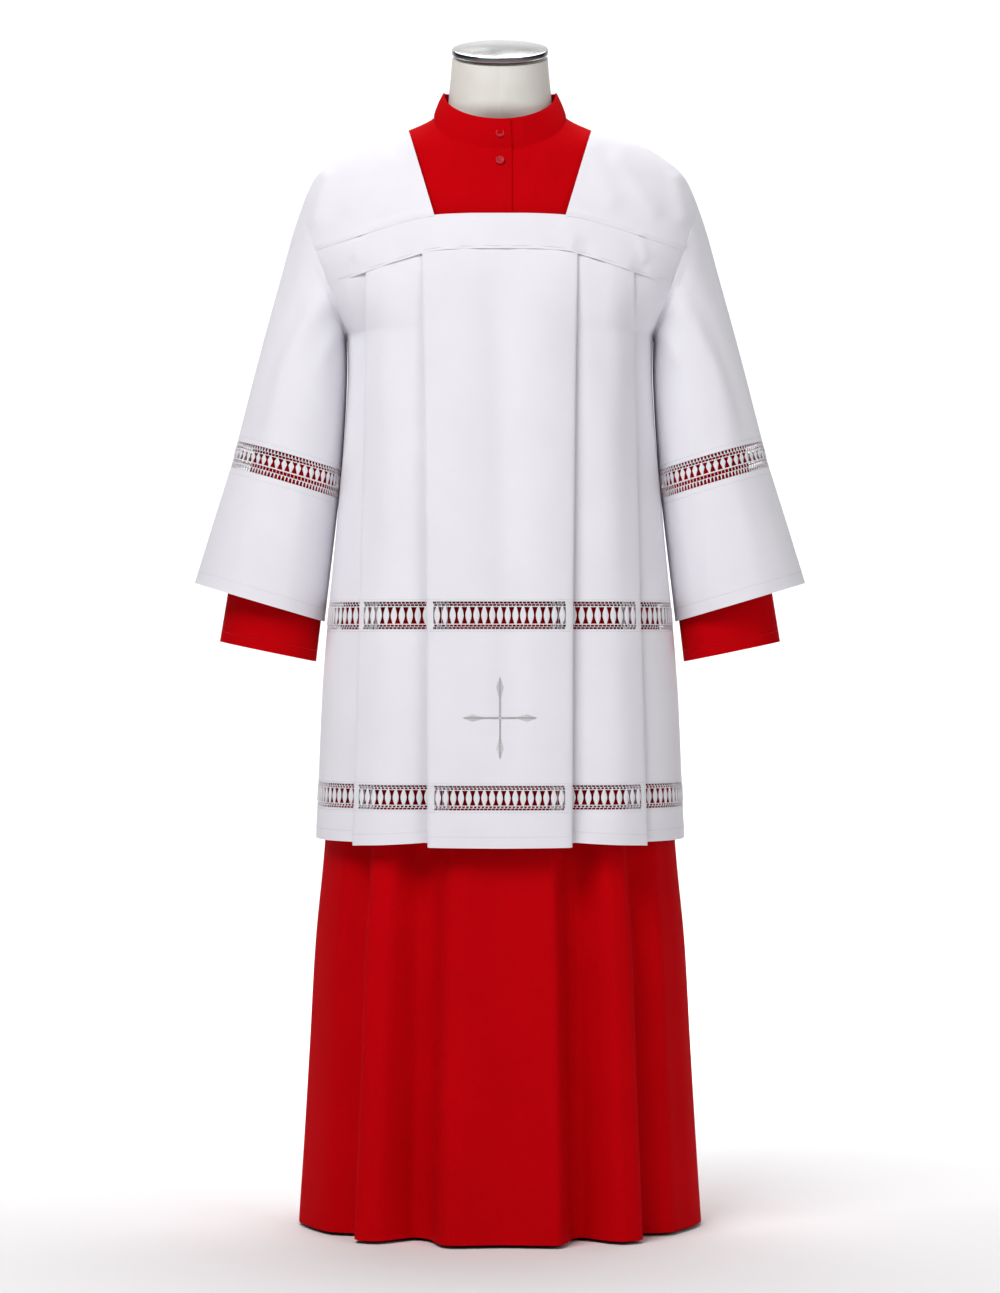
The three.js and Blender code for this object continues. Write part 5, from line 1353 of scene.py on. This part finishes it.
class ROBE_OT_surplice_sleeves(bpy.types.Operator):
    """Builds the bell sleeves with their lace bands"""

    bl_idname = "robe.surplice_sleeves"
    bl_label = "Surplice sleeves"

    def execute(self, context):
        thick = context.scene.robe_sizes.white_cloth / MM
        pitch = context.scene.robe_sizes.ladder / MM
        white, thread = material("white_cloth", context), material("lace", context)
        lace_from, lace_to = SLEEVE_LACE
        turns = np.linspace(0, 2 * math.pi, 161)[:-1]
        around = np.linspace(0, 2 * math.pi, 721)
        for hand, name in ((1, "left"), (-1, "right")):
            P = sleeve_grid(surplice_ring, np.linspace(0, lace_from, 64), turns, hand, SLEEVE_CREASES)
            upper = sheet_mesh(f"surplice_bell_{name}", P, thick, white, closed=True)
            wear(upper, [f"surplice_sleeve_{name}"], CUTS["surplice_sleeve"])
            P = sleeve_grid(surplice_ring, np.linspace(lace_to, 6, 40), turns, hand, SLEEVE_CREASES)
            cuff = sheet_mesh(f"surplice_bell_cuff_{name}", P, thick, white, closed=True)
            wear(cuff, [f"surplice_cuff_{name}"], CUTS["surplice_cuff"])

            levels = np.array([lace_from, (lace_from + lace_to) / 2, lace_to])
            run = run_of(sleeve_grid(surplice_ring, levels, around, hand, SLEEVE_CREASES)[1])
            step = run[-1] / round(run[-1] / pitch)
            columns = lace_columns([(0, run[-1], 1)], step, [])[:-1]

            def place(length, down, raised, hand=hand, run=run):
                s = mix(lace_from, lace_to, down / SLEEVE_LACE_HEIGHT)
                ring = sleeve_grid(surplice_ring, np.array([s, s + 0.01]), around, hand, SLEEVE_CREASES)[0]
                p = between(length % run[-1], run, ring)
                n = (p - ring.mean(axis=0)) * np.array([1, 1, 0.3])
                return p + unit(n) * raised[:, None]

            P, keep = lace_grid(columns, SLEEVE_LACE_HEIGHT, place, closed=True)
            band = sheet_mesh(f"surplice_ladder_sleeve_{name}", P, thick, thread, closed=True, keep=keep)
            wear(band, [f"surplice_sleeve_lace_{name}_front", f"surplice_sleeve_lace_{name}_back"],
                 CUTS["surplice_sleeve_lace"])
        return {"FINISHED"}


class ROBE_OT_stitching(bpy.types.Operator):
    """Sews the lines of machine stitches that show on both garments"""

    bl_idname = "robe.stitching"
    bl_label = "Stitching"

    def execute(self, context):
        pitch = context.scene.robe_sizes.stitch / MM
        white, red = material("white_thread", context), material("red_thread", context)
        for side, face in (("front", -1), ("back", 1)):
            low_half, low = yoke_seam(side, YOKE["band"])
            share = np.linspace(-0.97, 0.97, 160)
            x, z = share * low_half, low(share) + SEAM_OVERLAP
            p = surplice.at(x, z, face)
            n = surplice.normal(p)
            raised = YOKE_LIFT - YOKE_SINK * skirt_recess(x, side) + STITCH_LIFT
            lines = [(p + n * raised[:, None], n)]
            edges = [edge + 2 * way for band in (LACE_UPPER, LACE_LOWER) for edge, way in zip(band, (1, -1))]
            lines += skirt_lines(edges + [SURPLICE_HEM + HEM_STITCHES], face)
            stitches(f"surplice_stitching_{side}", f"surplice_pleated_{side}", lines, pitch, white)

        turns = np.linspace(0, 2 * math.pi, 241)[:-1]
        for hand, name in ((1, "left"), (-1, "right")):
            # on both sides of the lace and at the hem of each sleeve
            lines = [ring_line(surplice_ring, s, turns, hand, SLEEVE_CREASES) for s in (3.93, 5.06, 5.9)]
            stitches(f"surplice_sleeve_stitching_{name}", f"surplice_bell_cuff_{name}", lines, pitch, white)
            lines = [ring_line(cassock_ring, 6.91, turns, hand, CASSOCK_SLEEVE_CREASES)]
            stitches(f"cassock_sleeve_stitching_{name}", f"cassock_sleeve_tube_{name}", lines, pitch, red)

        # down the front lap, a little in from its edge
        z = np.linspace(1190, 1122, 30)
        p = cassock.at(np.full_like(z, LAP - 5.5), z, -1)
        n = cassock.normal(p)
        stitches("cassock_front_stitching", "cassock_front_left", [(p + n * STITCH_LIFT, n)], pitch, red)
        return {"FINISHED"}


CROSS = {
    "centre": 568, "spacing": 0.62,  # height of its middle, and from stitch to stitch
    # distance from the middle and half width, along an arm
    "reach": [0, 3, 20, 24, 31, 36, 45],
    "half": [1.0, 1.35, 1.15, 1.9, 4.2, 2.7, 0.3],
}


class ROBE_OT_cross(bpy.types.Operator):
    """Embroiders the cross on the front pleat in slanted satin stitches"""

    bl_idname = "robe.cross"
    bl_label = "Embroidered cross"

    def execute(self, context):
        centre_z, spacing = CROSS["centre"], CROSS["spacing"]
        # way of each arm, way across it, and its length as a share
        arms = (((1, 0), (0, 1), 0.9), ((-1, 0), (0, -1), 0.9), ((0, 1), (-1, 0), 1), ((0, -1), (1, 0), 1))
        slanted, shade_veins = [], []
        for way, up, size in arms:
            way, up = np.array(way) * size, np.array(up)
            for along in np.arange(1.0, 44.5, spacing):
                wide = np.interp(along + 0.9, CROSS["reach"], CROSS["half"])
                slanted += [(way * along + up * 0.3 * edge, way * (along + 0.75 * wide) + up * wide * edge)
                            for edge in (-1, 1)]
            # painted shade: darker strands down the middle of each arm stand for the shadowed gap between the
            # stitch rows
            shade_veins += [(way * along, way * (along + 3.3)) for along in np.arange(1.0, 40.0, 3.5)]

        def sew(name, pairs, lifts, wide, thread):
            ends = []
            for spots, lift in zip(np.array(pairs).transpose(1, 0, 2), lifts):
                x, z = spots[:, 0], centre_z + spots[:, 1]
                ends.append(np.stack([x, front_depth(x, z) - lift, z], 1))
            normals = np.tile([0.0, -1.0, 0.0], (len(pairs), 1))
            sewn = bars(name, *ends, normals, wide, 0.45, material(thread, context))
            sewn.parent = bpy.data.objects["surplice_pleated_middle_front"]

        sew("surplice_embroidered_cross", slanted, (0.95, 0.55), 0.75, "silver_thread")
        sew("surplice_embroidered_veins", shade_veins, (1.25, 1.25), 0.6, "vein_shade_thread")
        return {"FINISHED"}


SWEEP = {"near": -6.0, "bend": 4.5, "radius": 3.0, "height": 6.0, "half": 8.0}


class ROBE_OT_stage(bpy.types.Operator):
    """Sets up the pale sweep, the soft lights and the camera"""

    bl_idname = "robe.stage"
    bl_label = "Studio"

    def execute(self, context):
        stage = context.scene.robe_stage
        # the sweep in metres: flat to where it starts to bend, a quarter circle, and up
        near, start, radius, height, half = SWEEP.values()
        quarter = np.linspace(0, math.pi / 2, 33)
        bend = [(near, 0.0)]
        bend += [(start + radius * math.sin(a), radius - radius * math.cos(a)) for a in quarter]
        bend += [(start + radius, height)]
        verts = np.array([(x, y, z) for y, z in bend for x in (-half, half)])
        k = 2 * np.arange(len(bend) - 1)
        faces = np.stack([k, k + 1, k + 3, k + 2], 1)
        # coated background paper: flat white, with a grain too fine to see
        paper, tree, shader = new_material(
            "white_paper_sweep", linear("#FBFBFC"), Roughness=0.95, Specular_IOR_Level=0.1)
        place = node(tree, "ShaderNodeTexCoord").outputs["Object"]
        grain = node(tree, "ShaderNodeTexNoise", {"Scale": 900.0}, Vector=place)
        bump = node(tree, "ShaderNodeBump", {"Strength": 0.05, "Distance": 0.0002},
                    Height=grain.outputs["Fac"])
        tree.links.new(bump.outputs[0], shader.inputs["Normal"])
        sweep = mesh_object("studio_sweep", verts, faces, paper)
        sweep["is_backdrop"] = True

        def soft_light(name, power, size, at, aim, spread=180):
            data = bpy.data.lights.new(name, "AREA")
            data.energy, data.shape, data.size, data.size_y = power, "RECTANGLE", size[0], size[1]
            data.spread = math.radians(spread)
            light = bpy.data.objects.new(name, data)
            light.location = at
            light.rotation_euler = (Vector(aim) - Vector(at)).to_track_quat("-Z", "Y").to_euler()
            context.scene.collection.objects.link(light)

        soft_light("key_softbox", stage.key, (1.9, 1.5), (-1.2, -2.2, 3.1), (0, 0, 1.2))
        soft_light("fill_softbox", stage.fill, (1.8, 2.0), (2.6, -3.0, 2.1), (0, 0, 1.0))
        soft_light("top_softbox", stage.top, (2.4, 1.6), (0.2, 1.1, 3.3), (0, -0.1, 0))
        for side in (-1, 1):
            soft_light(f"backdrop_light_{'left' if side > 0 else 'right'}", stage.sweep, (1.2, 2.0),
                       (2.6 * side, 0.9, 3.0), (0.4 * side, 6.0, 0.8), 140)
        world = context.scene.world or bpy.data.worlds.new("studio")
        context.scene.world = world
        world.use_nodes = True
        sky = world.node_tree.nodes["Background"]
        sky.inputs["Color"].default_value = (1, 1, 1, 1)
        sky.inputs["Strength"].default_value = stage.sky
        context.scene.view_settings.view_transform = "Standard"

        data = bpy.data.cameras.new("camera")
        data.lens, data.sensor_width = stage.lens, 36
        camera = bpy.data.objects.new("camera", data)
        camera.location = (0, -stage.distance, stage.height)
        camera.rotation_euler = (math.pi / 2, 0, 0)
        context.scene.collection.objects.link(camera)
        context.scene.camera = camera
        return {"FINISHED"}


STEPS = ("form", "cassock_body", "cassock_collar", "cassock_sleeves", "cassock_buttons", "surplice_yoke",
         "surplice_body", "surplice_lace", "surplice_sleeves", "stitching", "cross", "stage")


class ROBE_PT_panel(bpy.types.Panel):
    bl_label = "Altar server robe"
    bl_idname = "ROBE_PT_panel"
    bl_space_type = "VIEW_3D"
    bl_region_type = "UI"
    bl_category = "Robe"

    def draw(self, context):
        for step in STEPS:
            self.layout.operator(f"robe.{step}")
        for group in (context.scene.robe_sizes, context.scene.robe_colours, context.scene.robe_stage):
            box = self.layout.box()
            for name in group.bl_rna.properties.keys():
                if name not in ("rna_type", "name"):
                    box.prop(group, name)


CLASSES = (RobeSizes, RobeColours, RobeStage, ROBE_OT_form, ROBE_OT_cassock_body, ROBE_OT_cassock_collar,
           ROBE_OT_cassock_sleeves, ROBE_OT_cassock_buttons, ROBE_OT_surplice_yoke, ROBE_OT_surplice_body,
           ROBE_OT_surplice_lace, ROBE_OT_surplice_sleeves, ROBE_OT_stitching, ROBE_OT_cross,
           ROBE_OT_stage, ROBE_PT_panel)


def register():
    for cls in CLASSES:
        bpy.utils.register_class(cls)
    bpy.types.Scene.robe_sizes = bpy.props.PointerProperty(type=RobeSizes)
    bpy.types.Scene.robe_colours = bpy.props.PointerProperty(type=RobeColours)
    bpy.types.Scene.robe_stage = bpy.props.PointerProperty(type=RobeStage)


def unregister():
    for name in ("robe_sizes", "robe_colours", "robe_stage"):
        delattr(bpy.types.Scene, name)
    for cls in reversed(CLASSES):
        bpy.utils.unregister_class(cls)


def main():
    register()
    for step in STEPS:
        getattr(bpy.ops.robe, step)()
    bpy.context.view_layer.update()
    boxes = {"cad": CAD_BOX, "visual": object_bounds()}
    {k: [list(lo), list(hi)] for k, (lo, hi) in boxes.items()}


if __name__ == "__main__":
    main()
